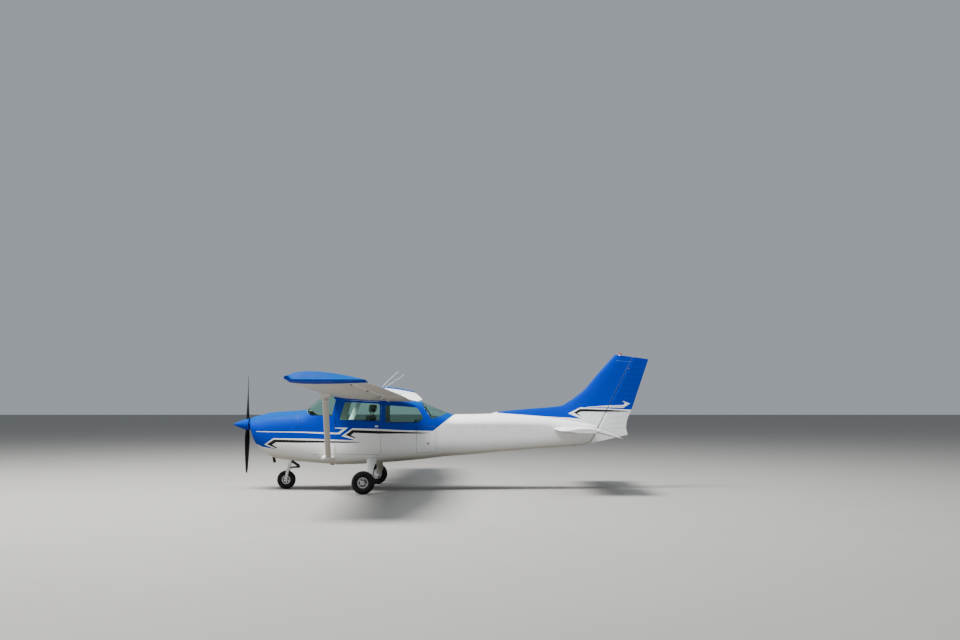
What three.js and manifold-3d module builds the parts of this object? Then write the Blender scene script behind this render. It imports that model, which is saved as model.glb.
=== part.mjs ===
// Light aircraft: high wing on struts, four seats, one piston engine, fixed nose-wheel landing gear.
// Millimetres and +Z up. +X points aft, +Y to the right wing. The origin is on the ground, on the
// centreline, half way along the aircraft, which stands on its three wheels.
import * as THREE from 'three';
import { mergeVertices } from 'three/addons/utils/BufferGeometryUtils.js';
import Module from 'manifold-3d';

const lib = await Module();
lib.setup();

// Overall sizes
const LENGTH = 8200;
const SPAN = 11000;
const NOSE_X = -LENGTH / 2;

// Gaps: between touching pieces, and round what moves
const SEAT_GAP = 0.3;
const MOVE_GAP = 6;

// Body stations
const FIREWALL_X = -2860;
const FIREWALL_THICK = 12;
const CABIN_END_X = 210;
const WALL = 45;
const COWL_WALL = 24;
const FLOOR_Z = 640;
const COWL_SPLIT_Z = 1150;
const PANE = 8;

// Propeller
const SHAFT_Z = 1259;
const PROP_X = -3826;
const PROP_RADIUS = 950;
const SPINNER_BACK_X = -3786;
const SPINNER_RADIUS = 122;
const HUB_RADIUS = 60;
const HUB_BACK_X = -3772;

// Wing
const WING_ROOT_Y = 470;
const WING_BREAK_Y = 2540;
const WING_END_Y = 5235;
const ROOT_CHORD = 1630;
const TIP_CHORD = 1130;
const QUARTER_X = -1743;
const QUARTER_Z = 1824;
const DIHEDRAL = THREE.MathUtils.degToRad(1.89);
const ROOT_PITCH = THREE.MathUtils.degToRad(5.9);
const TIP_PITCH = THREE.MathUtils.degToRad(1.7);
const FOIL = { camber: 0.02, crest: 0.4, thickness: 0.12, droop: 0.009 };
const FLAP = { y0: 560, y1: 2600, nose: 0.735 };
const AILERON = { y0: 2620, y1: 5200, nose: 0.79 };
const AILERON_END_GAP = 10;

// Tail
const STAB_HALF_SPAN = 1725;
const STAB_LEAD_X = 2215;
const STAB_Z = 1168;
const STAB_CHORD = 1161;
const STAB_FOIL = { camber: 0, crest: 0.4, thickness: 0.085, droop: 0 };
const ELEVATOR_HINGE = [2906, 1165];
const ELEVATOR_CHORD = 470;
const ELEVATOR_DROOP = THREE.MathUtils.degToRad(17.6);
const ELEVATOR_TUBE = 24;
const ELEVATOR_NOSE = 37;
const ELEVATOR_HINGES = [-1000, 1000];
const RUDDER_HINGE = { x: 2998, z: 930, slope: 0.498 };

// Landing gear
const MAIN = { x: -1390, y: 1250, radius: 212, halfWidth: 80, rim: 98, axle: 18 };
const NOSE = { x: -3040, y: 0, radius: 180, halfWidth: 63, rim: 85, axle: 12 };
const STEER = { x: -3000, z: 400, rake: THREE.MathUtils.degToRad(13) };

const FINISH = {
  blue: { color: 0x0b55d8, roughness: 0.25, metalness: 0.05 },
  white: { color: 0xe8ebee, roughness: 0.3, metalness: 0.05 },
  glass: { color: 0x8fb7ad, roughness: 0.05, metalness: 0, transparent: true, opacity: 0.45 },
  rubber: { color: 0x15161a, roughness: 0.85, metalness: 0 },
  alloy: { color: 0xb9bdc2, roughness: 0.4, metalness: 0.8 },
  steel: { color: 0x8a8d92, roughness: 0.4, metalness: 0.9 },
  black: { color: 0x1a1b1e, roughness: 0.5, metalness: 0.3 },
  cast: { color: 0x6f7276, roughness: 0.6, metalness: 0.7 },
  fabric: { color: 0x4a4d52, roughness: 0.95, metalness: 0 },
  red: { color: 0xb01818, roughness: 0.2, metalness: 0 },
};

// Solids: every shape becomes a closed body whose faces point out

function signedVolume(points, faces) {
  const at = (i) => new THREE.Vector3().fromArray(points, 3 * faces[i]);
  let sum = 0;
  for (let i = 0; i < faces.length; i += 3) {
    sum += at(i).dot(at(i + 1).cross(at(i + 2)));
  }
  return sum / 6;
}

function solid(geometry) {
  const bare = new THREE.BufferGeometry();
  bare.setAttribute('position', geometry.getAttribute('position'));
  if (geometry.index) bare.setIndex(geometry.index);
  const merged = mergeVertices(bare, 1e-3);
  const points = merged.getAttribute('position').array;
  const faces = [];
  for (let i = 0; i < merged.index.count; i += 3) {
    const [a, b, c] = merged.index.array.slice(i, i + 3);
    if (a !== b && b !== c && c !== a) faces.push(a, b, c);
  }
  if (signedVolume(points, faces) < 0) faces.reverse();
  const triVerts = Uint32Array.from(faces);
  return new lib.Manifold(new lib.Mesh({ numProp: 3, vertProperties: points, triVerts }));
}

function geometryOf(body) {
  const mesh = body.getMesh();
  const geometry = new THREE.BufferGeometry();
  geometry.setAttribute('position', new THREE.BufferAttribute(mesh.vertProperties, 3));
  geometry.setIndex(new THREE.BufferAttribute(mesh.triVerts, 1));
  return geometry;
}

const join = (first, ...rest) => rest.reduce((sum, body) => sum.add(body), first);
const cut = (first, ...rest) => rest.reduce((sum, body) => sum.subtract(body), first);

// Skins a row of rings, each the same number of [x, y, z] points, and closes both ends
function loft(rings) {
  const count = rings[0].length;
  const points = rings.flat();
  const faces = [];
  for (let i = 0; i + 1 < rings.length; i++) {
    for (let j = 0; j < count; j++) {
      const [a, b] = [i * count + j, i * count + ((j + 1) % count)];
      faces.push(a, b, b + count, a, b + count, a + count);
    }
  }
  for (const [start, turn] of [[0, 1], [(rings.length - 1) * count, 0]]) {
    const ring = points.slice(start, start + count);
    const centre = [0, 1, 2].map((k) => ring.reduce((sum, p) => sum + p[k], 0) / count);
    points.push(centre);
    for (let j = 0; j < count; j++) {
      const [a, b] = [start + j, start + ((j + 1) % count)];
      faces.push(points.length - 1, turn ? b : a, turn ? a : b);
    }
  }
  const geometry = new THREE.BufferGeometry();
  geometry.setAttribute('position', new THREE.Float32BufferAttribute(points.flat(), 3));
  geometry.setIndex(faces);
  return solid(geometry);
}

function box(x0, x1, y0, y1, z0, z1) {
  const geometry = new THREE.BoxGeometry(x1 - x0, y1 - y0, z1 - z0);
  return solid(geometry.translate((x0 + x1) / 2, (y0 + y1) / 2, (z0 + z1) / 2));
}

// Round bar from one point to another
function rod(from, to, radius, sides = 16, endRadius = radius) {
  const [a, b] = [new THREE.Vector3(...from), new THREE.Vector3(...to)];
  const way = b.clone().sub(a);
  const geometry = new THREE.CylinderGeometry(endRadius, radius, way.length(), sides);
  const turn = new THREE.Quaternion().setFromUnitVectors(new THREE.Vector3(0, 1, 0), way.normalize());
  geometry.applyQuaternion(turn);
  const middle = a.add(b).multiplyScalar(0.5);
  return solid(geometry.translate(middle.x, middle.y, middle.z));
}

// Moves each edge of a closed outline inwards, then rounds its corners
function outlineShape(corners, inset, radius) {
  const vectors = corners.map(([a, b]) => new THREE.Vector2(a, b));
  const inward = THREE.ShapeUtils.area(vectors) > 0 ? 1 : -1;
  const count = vectors.length;
  const edge = (i) => {
    const start = vectors[(i + count) % count];
    const way = vectors[(i + 1) % count].clone().sub(start).normalize();
    const normal = new THREE.Vector2(-way.y, way.x).multiplyScalar(inward * inset);
    return { start: start.clone().add(normal), way };
  };
  const moved = vectors.map((_, i) => {
    const [before, after] = [edge(i - 1), edge(i)];
    const side = after.start.clone().sub(before.start).cross(after.way);
    return before.start.clone().addScaledVector(before.way, side / before.way.cross(after.way));
  });
  if (radius <= 0) return new THREE.Shape(moved);
  const shape = new THREE.Shape();
  moved.forEach((corner, i) => {
    const towards = (other) => {
      const way = other.clone().sub(corner);
      return way.setLength(Math.min(radius, way.length() * 0.45)).add(corner);
    };
    const start = towards(moved[(i + count - 1) % count]);
    const end = towards(moved[(i + 1) % count]);
    if (i === 0) shape.moveTo(start.x, start.y);
    else shape.lineTo(start.x, start.y);
    shape.quadraticCurveTo(corner.x, corner.y, end.x, end.y);
  });
  shape.closePath();
  return shape;
}

// Outline drawn in side view, x and z, and carried across from y0 to y1
function sidePrism(corners, y0, y1, { inset = 0, radius = 0 } = {}) {
  const shape = outlineShape(corners, inset, radius);
  const options = { depth: y1 - y0, bevelEnabled: false, curveSegments: 3 };
  return solid(new THREE.ExtrudeGeometry(shape, options).rotateX(Math.PI / 2).translate(0, y1, 0));
}

// Outline drawn in plan view, x and y, and carried up from z0 to z1
function planPrism(corners, z0, z1) {
  const shape = new THREE.Shape(corners.map(([x, y]) => new THREE.Vector2(x, y)));
  const options = { depth: z1 - z0, bevelEnabled: false };
  return solid(new THREE.ExtrudeGeometry(shape, options).translate(0, 0, z0));
}

// Body turned about the Y axis from a closed profile of [radius, y]
function turned(profile, sides) {
  const points = profile.map(([r, y]) => new THREE.Vector2(r, y));
  return solid(new THREE.LatheGeometry([...points, points[0]], sides));
}

// Fuselage: one table of sections gives cowling, cabin and tail cone

const HULL_SIDES = 24;
// x at the top, lean (aft shift per mm below the top), bottom, belt and top heights, half width at
// the belt, taper of the half width from belt to top, powers of the lower and upper curve
const HULL = [
  [-3748, 0.27, 905, 1150, 1362, 300, 0, 2.6, 2.4],
  [-3735, 0.26, 866, 1145, 1382, 352, 0, 2.6, 2.4],
  [-3690, 0.25, 800, 1140, 1408, 405, 0, 2.7, 2.4],
  [-3572, 0.2, 699, 1140, 1437, 445, 0, 2.9, 2.4],
  [-3342, 0.1, 612, 1150, 1493, 475, 0, 3.1, 2.5],
  [-2969, 0, 566, 1170, 1521, 498, 0, 3.3, 2.6],
  [-2860, 0, 552, 1180, 1526, 505, 0, 3.4, 2.6],
  [-2634, 0, 534, 1200, 1551, 522, 0, 3.8, 2.6],
  [-2500, 0, 524, 1215, 1672, 529, 0.04, 4.2, 2.8],
  [-2356, 0, 513, 1230, 1785, 533, 0.07, 4.5, 3.2],
  [-2220, 0, 504, 1240, 1868, 535, 0.09, 4.8, 4],
  [-2120, 0, 498, 1250, 1925, 536, 0.1, 5, 5.5],
  [-1987, 0, 494, 1250, 1950, 537, 0.11, 5, 8],
  [-1825, 0, 490, 1250, 1958, 537, 0.12, 5, 9],
  [-1500, 0, 500, 1250, 1932, 536, 0.12, 5, 9],
  [-850, 0, 546, 1250, 1800, 524, 0.11, 5, 9],
  [-525, 0, 574, 1250, 1722, 511, 0.1, 5, 8],
  [-369, 0, 589, 1252, 1690, 500, 0.1, 5, 6],
  [-173, 0, 612, 1254, 1616, 483, 0.09, 4.8, 3.8],
  [70, 0, 639, 1256, 1513, 458, 0.05, 4.6, 2.6],
  [210, 0, 651, 1258, 1456, 441, 0, 4.5, 2.1],
  [566, 0, 677, 1258, 1458, 396, 0, 4.5, 2],
  [1121, 0, 727, 1254, 1470, 328, 0, 4.5, 2],
  [1929, 0, 792, 1240, 1425, 228, 0, 4.3, 2],
  [2335, 0, 820, 1215, 1372, 178, 0, 4, 2],
  [2726, -0.1, 848, 1190, 1312, 130, 0, 3.6, 2],
  [2950, -0.3, 868, 1172, 1276, 95, 0, 3.2, 2],
  [3090, -0.5, 905, 1160, 1252, 70, 0, 3, 2],
];

function hullRow(x) {
  const last = HULL.findIndex((row) => row[0] >= x);
  if (last === -1) return HULL.at(-1);
  if (last === 0) return HULL[0];
  const [before, after] = [HULL[last - 1], HULL[last]];
  const share = (x - before[0]) / (after[0] - before[0]);
  return before.map((value, k) => THREE.MathUtils.lerp(value, after[k], share));
}

// One section, grown by a gap or shrunk by a wall; a step of 2 keeps every other point, the corners in
function hullRing(x, grow = 0, step = 1) {
  const [, lean, bottom, belt, top, half, taper, low, high] = hullRow(x);
  const ring = [];
  for (let i = step - 1; i < HULL_SIDES; i += step) {
    const angle = (2 * Math.PI * i) / HULL_SIDES;
    const [c, s] = [Math.cos(angle), Math.sin(angle)];
    const power = 2 / (s >= 0 ? high : low);
    const reach = (s >= 0 ? top - belt : belt - bottom) + grow;
    const z = belt + Math.sign(s) * reach * Math.abs(s) ** power;
    const narrow = 1 - taper * Math.max(0, z - belt) / (top - belt);
    const y = (half + grow) * narrow * Math.sign(c) * Math.abs(c) ** power;
    ring.push([x + lean * (top - z), y, z]);
  }
  return ring;
}

function hull(x0, x1, grow = 0, step = 1) {
  const between = HULL.map((row) => row[0]).filter((x) => x > x0 + 1 && x < x1 - 1);
  return loft([x0, ...between, x1].map((x) => hullRing(x, grow, step)));
}

const INNER_STEP = 2;
const hullInside = (x0, x1, skin) => hull(x0, x1, -skin, INNER_STEP);

// Outlines in side view, x and z
const WINDSHIELD = [[-2632, 1556], [-2540, 1462], [-2485, 1434], [-2086, 1426], [-2018, 1735],
  [-2110, 1840], [-2176, 2000], [-2632, 2000]];
const DOOR = [[-2032, 700], [-1140, 690], [-1136, 1670], [-1180, 1704], [-1905, 1742], [-2032, 1440]];
const DOOR_WINDOW = [[-1946, 1350], [-1846, 1700], [-1170, 1660], [-1166, 1328]];
const SIDE_WINDOW = [[-1062, 1300], [-1066, 1636], [-450, 1590], [-322, 1392], [-420, 1300]];
const REAR_WINDOW = [[-372, 1900], [-352, 1640], [-178, 1368], [-60, 1400], [112, 1476], [112, 1900]];
const BAGGAGE_DOOR = [[-465, 720], [-85, 730], [-85, 1225], [-465, 1225]];

const PAST_SIDE = 700;
const DOOR_REACH = 250;
const sideRange = (side, inner, outer) => (side < 0 ? [-outer, -inner] : [inner, outer]);

const cabinOuter = hull(FIREWALL_X + FIREWALL_THICK + SEAT_GAP, CABIN_END_X);
const cavity = hullInside(FIREWALL_X - 40, CABIN_END_X - 60, WALL)
  .intersect(box(FIREWALL_X - 100, CABIN_END_X, -PAST_SIDE, PAST_SIDE, FLOOR_Z, 2200));
const wall = cabinOuter.subtract(cavity);
const glazing = cabinOuter.subtract(hull(FIREWALL_X, CABIN_END_X, -PANE));

// Wing

function wingAt(y) {
  const share = Math.max(0, (y - WING_BREAK_Y) / (SPAN / 2 - WING_BREAK_Y));
  const chord = THREE.MathUtils.lerp(ROOT_CHORD, TIP_CHORD, share);
  const pitch = THREE.MathUtils.lerp(ROOT_PITCH, TIP_PITCH, share);
  return { chord, pitch, z: QUARTER_Z + (y - WING_ROOT_Y) * Math.tan(DIHEDRAL) };
}

// Point of the wing at half-span y, from its place along the chord and height, both over the chord
function wingPoint(y, along, up) {
  const { chord, pitch, z } = wingAt(y);
  const [dx, dz] = [(along - 0.25) * chord, up * chord];
  const [c, s] = [Math.cos(pitch), Math.sin(pitch)];
  return [QUARTER_X + dx * c + dz * s, z - dx * s + dz * c];
}

// Height of a four-digit aerofoil's camber line and half thickness at one place along the chord. The
// nose droops ahead of one share of the chord.
const DROOP_END = 0.15;
function foil(along, { camber, crest, thickness, droop }) {
  const half = 5 * thickness * (0.2969 * Math.sqrt(along) - 0.126 * along - 0.3516 * along ** 2
    + 0.2843 * along ** 3 - 0.1015 * along ** 4);
  const side = along < crest ? crest : 1 - crest;
  const start = along < crest ? 0 : 1 - 2 * crest;
  const nose = droop * Math.max(0, 1 - along / DROOP_END) ** 2;
  const line = camber * (start + 2 * crest * along - along ** 2) / side ** 2 - nose;
  return { line, half };
}

// The wing tips fold down: "top" is the share of the depth that is left above the lower side. The nose
// stays round.
const FOIL_STEPS = 10;
const ROUND_NOSE = 0.14;
function wingRing(y, side, { height = 1, lift = 0, ahead = 0, grow = 0, top = 1 } = {}) {
  const ring = [];
  for (let i = 0; i <= 2 * FOIL_STEPS; i++) {
    const along = (1 + Math.cos((Math.PI * i) / FOIL_STEPS)) / 2;
    const { line, half } = foil(along, FOIL);
    const share = Math.max(top, 1 - (along / ROUND_NOSE) ** 2);
    const up = (line - half + (i <= FOIL_STEPS ? 2 * half * share : 0)) * height;
    const [x, z] = wingPoint(y, along, up);
    const push = grow * Math.cos((Math.PI * i) / FOIL_STEPS) - ahead;
    ring.push([x + push, side * y, z + lift + (i <= FOIL_STEPS ? grow : -grow)]);
  }
  return ring;
}

function wingBlank(side, grow = 0) {
  const stations = [WING_ROOT_Y - grow, WING_BREAK_Y, WING_END_Y];
  return loft(stations.map((y) => wingRing(y, side, { grow })));
}

// Round nose about a centre, and two straight sides that run back to a thin tail
const NOSE_STEPS = 8;
const TAIL_HALF = 2.5;
function surfaceSection(centre, radius, tail, stretch = 1) {
  const start = new THREE.Vector2(...centre);
  const back = new THREE.Vector2(...tail).sub(start).normalize();
  const up = new THREE.Vector2(-back.y, back.x);
  const points = [];
  for (let i = 0; i <= NOSE_STEPS; i++) {
    const angle = (Math.PI * i) / NOSE_STEPS;
    const forward = -radius * stretch * Math.sin(angle);
    points.push(start.clone().addScaledVector(back, forward)
      .addScaledVector(up, radius * Math.cos(angle)));
  }
  const end = new THREE.Vector2(...tail);
  points.push(end.clone().addScaledVector(up, -TAIL_HALF));
  points.push(end.clone().addScaledVector(up, TAIL_HALF));
  return points.map((p) => [p.x, p.y]);
}

function wingSurfaceNose(y, nose) {
  const { line, half } = foil(nose, FOIL);
  return { centre: wingPoint(y, nose, line), radius: half * wingAt(y).chord };
}

function wingSurface(side, { y0, y1, nose }) {
  const stations = [y0, ...[WING_BREAK_Y].filter((y) => y > y0 && y < y1), y1];
  return loft(stations.map((y) => {
    const { centre, radius } = wingSurfaceNose(y, nose);
    const section = surfaceSection(centre, radius, wingPoint(y, 1, 0));
    return section.map(([x, z]) => [x, side * y, z]);
  }));
}

// Bay behind the rear spar, for flap and aileron
function wingBay(side) {
  const front = ({ nose }, y) => {
    const { centre, radius } = wingSurfaceNose(y, nose);
    return [centre[0] - radius - MOVE_GAP, side * y];
  };
  const between = (FLAP.y1 + AILERON.y0) / 2;
  const aft = -300;
  return planPrism([
    [aft, side * (FLAP.y0 - MOVE_GAP)], front(FLAP, FLAP.y0 - MOVE_GAP), front(FLAP, WING_BREAK_Y),
    front(FLAP, between), front(AILERON, between), front(AILERON, AILERON.y1 + AILERON_END_GAP),
    [aft, side * (AILERON.y1 + AILERON_END_GAP)],
  ], 1500, 2300);
}

// y beyond the wing's end, share of the thickness, lift, shift forward, and the top's share
const TIP_STATIONS = [[SEAT_GAP, 1, 0, 0, 1], [60, 1.07, 14, 4, 1], [110, 1.13, 28, 8, 1],
  [150, 1.13, 30, 10, 0.84], [190, 1.12, 29, 12, 0.62], [230, 1.1, 27, 13, 0.38], [265, 1.08, 25, 14, 0.18]];
function wingTip(side) {
  return loft(TIP_STATIONS.map(([out, height, lift, ahead, top]) => (
    wingRing(WING_END_Y + out, side, { height, lift, ahead, top }))));
}

// Hinge brackets: a flat eye across the hinge line, held by an arm from the fixed piece, in a slot of
// the moving piece. The eye's faces lie close to the slot's.

const EYE_HALF = 5;
function eyeSpan(point, along, radius, half) {
  const [p, way] = [new THREE.Vector3(...point), new THREE.Vector3(...along).normalize()];
  const ends = [-half, half].map((d) => p.clone().addScaledVector(way, d).toArray());
  return rod(ends[0], ends[1], radius, 10);
}

function hingeEye(point, along, root, eye, arm) {
  const [p, way] = [new THREE.Vector3(...point), new THREE.Vector3(...along).normalize()];
  const reach = new THREE.Vector3(...root).sub(p);
  reach.addScaledVector(way, -reach.dot(way));
  const bar = new THREE.BoxGeometry(reach.length(), arm, 2 * EYE_HALF).translate(reach.length() / 2, 0, 0);
  const fore = reach.clone().normalize();
  const basis = new THREE.Matrix4().makeBasis(fore, way.clone().cross(fore), way).setPosition(p);
  return join(eyeSpan(point, along, eye, EYE_HALF), solid(bar.applyMatrix4(basis)));
}

const hingeSlot = (point, along, radius) => eyeSpan(point, along, radius, EYE_HALF + SEAT_GAP);

// Nose centre line of a wing surface, and the brackets' half-span stations
const HINGE_STATIONS = { flap: [900, 2300], aileron: [3000, 4800] };
function wingHinges(side, surface, stations, make) {
  const noseAt = (y) => {
    const { centre, radius } = wingSurfaceNose(y, surface.nose);
    return { point: [centre[0], side * y, centre[1]], radius };
  };
  const [a, b] = [noseAt(stations[0]).point, noseAt(stations.at(-1)).point];
  const along = b.map((value, k) => value - a[k]);
  return stations.map((y) => make(noseAt(y), along));
}

const bracketOf = ({ point, radius }, along) => hingeEye(point, along,
  [point[0] - radius - MOVE_GAP - 15, point[1], point[2]], radius * 0.6, radius * 0.7);
const slotOf = ({ point, radius }, along) => hingeSlot(point, along, radius + 4);

// Room inside the wing's skin, between shares of the chord, ahead of the rear spar and open at the root
const WING_SKIN = 12;
const WING_ROOM = { front: 0.04, rear: 0.66, steps: 5 };
function wingRoomRing(y, side) {
  const { front, rear, steps } = WING_ROOM;
  const places = Array.from({ length: steps + 1 }, (_, i) => rear + ((front - rear) * i) / steps);
  const point = (along, above) => {
    const { line, half } = foil(along, FOIL);
    const [x, z] = wingPoint(y, along, line + above * (half - WING_SKIN / wingAt(y).chord));
    return [x, side * y, z];
  };
  return [...places.map((along) => point(along, 1)), ...places.reverse().map((along) => point(along, -1))];
}

const wingRoom = (side) => loft([WING_ROOT_Y - 1, WING_BREAK_Y, WING_END_Y - 40]
  .map((y) => wingRoomRing(y, side)));

function wing(side) {
  const brackets = [[FLAP, HINGE_STATIONS.flap], [AILERON, HINGE_STATIONS.aileron]]
    .flatMap(([surface, stations]) => wingHinges(side, surface, stations, bracketOf));
  return join(cut(wingBlank(side), wingBay(side), wingRoom(side)), ...brackets);
}

function hingedSurface(side, surface, stations) {
  return cut(wingSurface(side, surface), ...wingHinges(side, surface, stations, slotOf));
}

// Struts and legs: flat oval sections along a line of stations

const OVAL_SIDES = 12;
// Each station is [x, y, z, chord, thickness]
function ovalBar(stations, side) {
  const centres = stations.map(([x, y, z]) => new THREE.Vector3(x, side * y, z));
  return loft(stations.map(([, , , chord, thick], i) => {
    const before = centres[Math.max(0, i - 1)];
    const after = centres[Math.min(centres.length - 1, i + 1)];
    const along = after.clone().sub(before).normalize();
    const fore = new THREE.Vector3(1, 0, 0);
    fore.addScaledVector(along, -fore.dot(along)).normalize();
    const across = along.clone().cross(fore);
    return Array.from({ length: OVAL_SIDES }, (_, k) => {
      const angle = (2 * Math.PI * k) / OVAL_SIDES;
      const point = centres[i].clone().addScaledVector(fore, (chord / 2) * Math.cos(angle));
      return point.addScaledVector(across, (thick / 2) * Math.sin(angle)).toArray();
    });
  }));
}

const STRUT_FOOT = [-2152, 470, 606];
const STRUT_HEAD = [-1905, 2560, 1810];
// share of the way up, chord, thickness
const STRUT_STATIONS = [[0, 270, 110], [0.025, 240, 90], [0.045, 108, 50], [0.93, 108, 50],
  [0.965, 160, 62], [1, 210, 90]];
function wingStrut(side) {
  const stations = STRUT_STATIONS.map(([share, chord, thick]) => [
    ...STRUT_FOOT.map((from, k) => THREE.MathUtils.lerp(from, STRUT_HEAD[k], share)), chord, thick]);
  const [y0, y1] = sideRange(side, 2455, 2485);
  const tieDown = box(-1935, -1885, y0, y1, 1686, 1745);
  return cut(join(ovalBar(stations, side), tieDown), hull(-2500, -1800, SEAT_GAP),
    wingBlank(side, SEAT_GAP));
}

// x, y, z, chord, thickness
const LEG_STATIONS = [[-1312, 380, 630, 200, 90], [-1312, 560, 580, 180, 60], [-1304, 760, 508, 150, 44],
  [-1302, 960, 405, 130, 36], [-1330, 1105, 290, 125, 36], [-1372, 1140, 236, 120, 36]];
const LEG_END_Y = 1150;
function mainLeg(side) {
  const [y0, y1] = sideRange(side, 1125, LEG_END_Y);
  const pad = box(MAIN.x - 45, MAIN.x + 45, y0, y1, MAIN.radius - 45, MAIN.radius + 45);
  const [out0, out1] = sideRange(side, LEG_END_Y, 1300);
  return cut(join(ovalBar(LEG_STATIONS, side), pad), hull(-1800, -850, SEAT_GAP),
    box(-1600, -1200, out0, out1, 0, 600));
}

function mainAxle(side) {
  const start = LEG_END_Y + SEAT_GAP;
  const along = (y) => [MAIN.x, side * y, MAIN.radius];
  const [y0, y1] = sideRange(side, start, 1174);
  const caliper = box(MAIN.x + 30, MAIN.x + 106, y0, y1, MAIN.radius - 30, MAIN.radius + 55);
  const flange = rod(along(start), along(1166), 55, 20);
  return join(flange, rod(along(start), along(1322), MAIN.axle), caliper);
}

// Wheels, about their own centre with the axle along Y

const WHEEL_SIDES = 20;
function tyre({ radius, halfWidth, rim }) {
  const depth = radius - rim;
  // share of the depth, share of the half width
  const side = [[0, 0.66], [0.25, 0.9], [0.55, 1], [0.84, 0.82], [1, 0.34]];
  const right = side.map(([deep, wide]) => [rim + depth * deep, halfWidth * wide]);
  const left = right.map(([r, y]) => [r, -y]).reverse();
  return turned([...right, ...left], WHEEL_SIDES);
}

function hub({ halfWidth, rim, axle }) {
  const edge = rim - SEAT_GAP;
  const bore = axle + 1;
  const [rimHalf, webHalf, bossHalf] = [halfWidth * 0.64, halfWidth * 0.24, halfWidth * 0.72];
  const right = [[bore, bossHalf], [axle * 2, bossHalf], [axle * 2.3, webHalf], [edge * 0.78, webHalf],
    [edge * 0.84, rimHalf], [edge, rimHalf]];
  const left = right.map(([r, y]) => [r, -y]).reverse();
  return turned([...right, ...left], WHEEL_SIDES);
}

// Nose gear

const steerX = (z) => STEER.x + (z - STEER.z) * Math.tan(STEER.rake);
const steerPoint = (z) => [steerX(z), 0, z];
const BARREL = { low: 447, high: 850, radius: 34 };

function noseOleo() {
  const barrel = rod(steerPoint(BARREL.low), steerPoint(BARREL.high), BARREL.radius);
  const bracket = (z) => box(steerX(z), FIREWALL_X - SEAT_GAP, -34, 34, z - 22, z + 22);
  const behind = box(FIREWALL_X - SEAT_GAP, -2700, -100, 100, 400, 1000);
  return cut(join(barrel, bracket(650), bracket(815)), behind);
}

function noseFork() {
  const leg = (side) => {
    const [y0, y1] = sideRange(side, 74, 90);
    return sidePrism([[-3064, 160], [-3016, 160], [-2972, 412], [-3026, 412]], y0, y1);
  };
  const crown = sidePrism([[-3032, 380], [-2950, 380], [-2940, 412], [-3024, 412]], -90, 90);
  const stem = rod(steerPoint(400), steerPoint(BARREL.low - SEAT_GAP), 24);
  const axle = rod([NOSE.x, -96, NOSE.radius], [NOSE.x, 96, NOSE.radius], NOSE.axle);
  return join(crown, leg(-1), leg(1), stem, axle);
}

const torqueLink = () => sidePrism([[-2928, 548], [-2792, 462], [-2784, 418], [-2966, 412 + SEAT_GAP],
  [-2966, 428], [-2822, 432], [-2822, 446], [-2928, 516]], -22, 22);

// Nose: cowling, engine, propeller

function cowling() {
  const outer = hull(HULL[0][0], FIREWALL_X - SEAT_GAP);
  const inner = hullInside(HULL[1][0] + 12, FIREWALL_X + 40, COWL_WALL);
  const inlet = (side) => {
    const hole = new THREE.CylinderGeometry(1, 1, 300, 20).rotateZ(Math.PI / 2);
    return solid(hole.scale(1, 105, 52).translate(-3700, side * 205, 1236));
  };
  const shaft = rod([-3900, 0, SHAFT_Z], [-3600, 0, SHAFT_Z], 72, 20);
  const scoop = box(-3800, -3560, -105, 105, 960, 1040);
  const strutHole = rod(steerPoint(500), steerPoint(700), BARREL.radius + MOVE_GAP, 16);
  const stackHole = rod(EXHAUST.top, EXHAUST.low, EXHAUST.radius + MOVE_GAP, 16);
  return cut(outer, inner, inlet(-1), inlet(1), shaft, scoop, strutHole, stackHole);
}

const ENGINE_LOW_Z = 902;
const EXHAUST = { top: [-3330, -150, 905], low: [-3244, -150, 520], radius: 27 };
function exhaust() {
  const pipe = rod(EXHAUST.top, EXHAUST.low, EXHAUST.radius, 16);
  const mouth = rod([-3252, -150, 556], [-3242, -150, 508], EXHAUST.radius - 5, 16);
  return cut(pipe, mouth, box(-3400, -3200, -200, -100, ENGINE_LOW_Z - SEAT_GAP, 1000));
}

function engine() {
  const block = box(-3490, FIREWALL_X - SEAT_GAP, -352, 352, ENGINE_LOW_Z, 1306);
  return join(block, rod([-3440, 0, SHAFT_Z], [HUB_BACK_X + SEAT_GAP, 0, SHAFT_Z], 45, 20));
}

// radius, chord, thickness, pitch in degrees
const BLADE = [[0, 70, 62, 50], [120, 82, 50, 44], [260, 128, 26, 33], [480, 148, 17, 22],
  [720, 128, 11, 16], [890, 94, 8, 13], [PROP_RADIUS, 48, 5, 12]];
const BLADE_SIDES = 10;
function blade(up) {
  return loft(BLADE.map(([radius, chord, thick, pitch]) => {
    const turn = THREE.MathUtils.degToRad(90 - pitch);
    return Array.from({ length: BLADE_SIDES }, (_, k) => {
      const angle = (2 * Math.PI * k) / BLADE_SIDES;
      const [a, b] = [(chord / 2) * Math.cos(angle), (thick / 2) * Math.sin(angle)];
      const x = a * Math.cos(turn) + b * Math.sin(turn);
      const y = -a * Math.sin(turn) + b * Math.cos(turn);
      return [PROP_X + x, up * y, SHAFT_Z + up * radius];
    });
  }));
}

function propeller() {
  const hubBody = rod([HUB_BACK_X, 0, SHAFT_Z], [PROP_X - 46, 0, SHAFT_Z], HUB_RADIUS, 24);
  return join(hubBody, blade(1), blade(-1));
}

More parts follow.
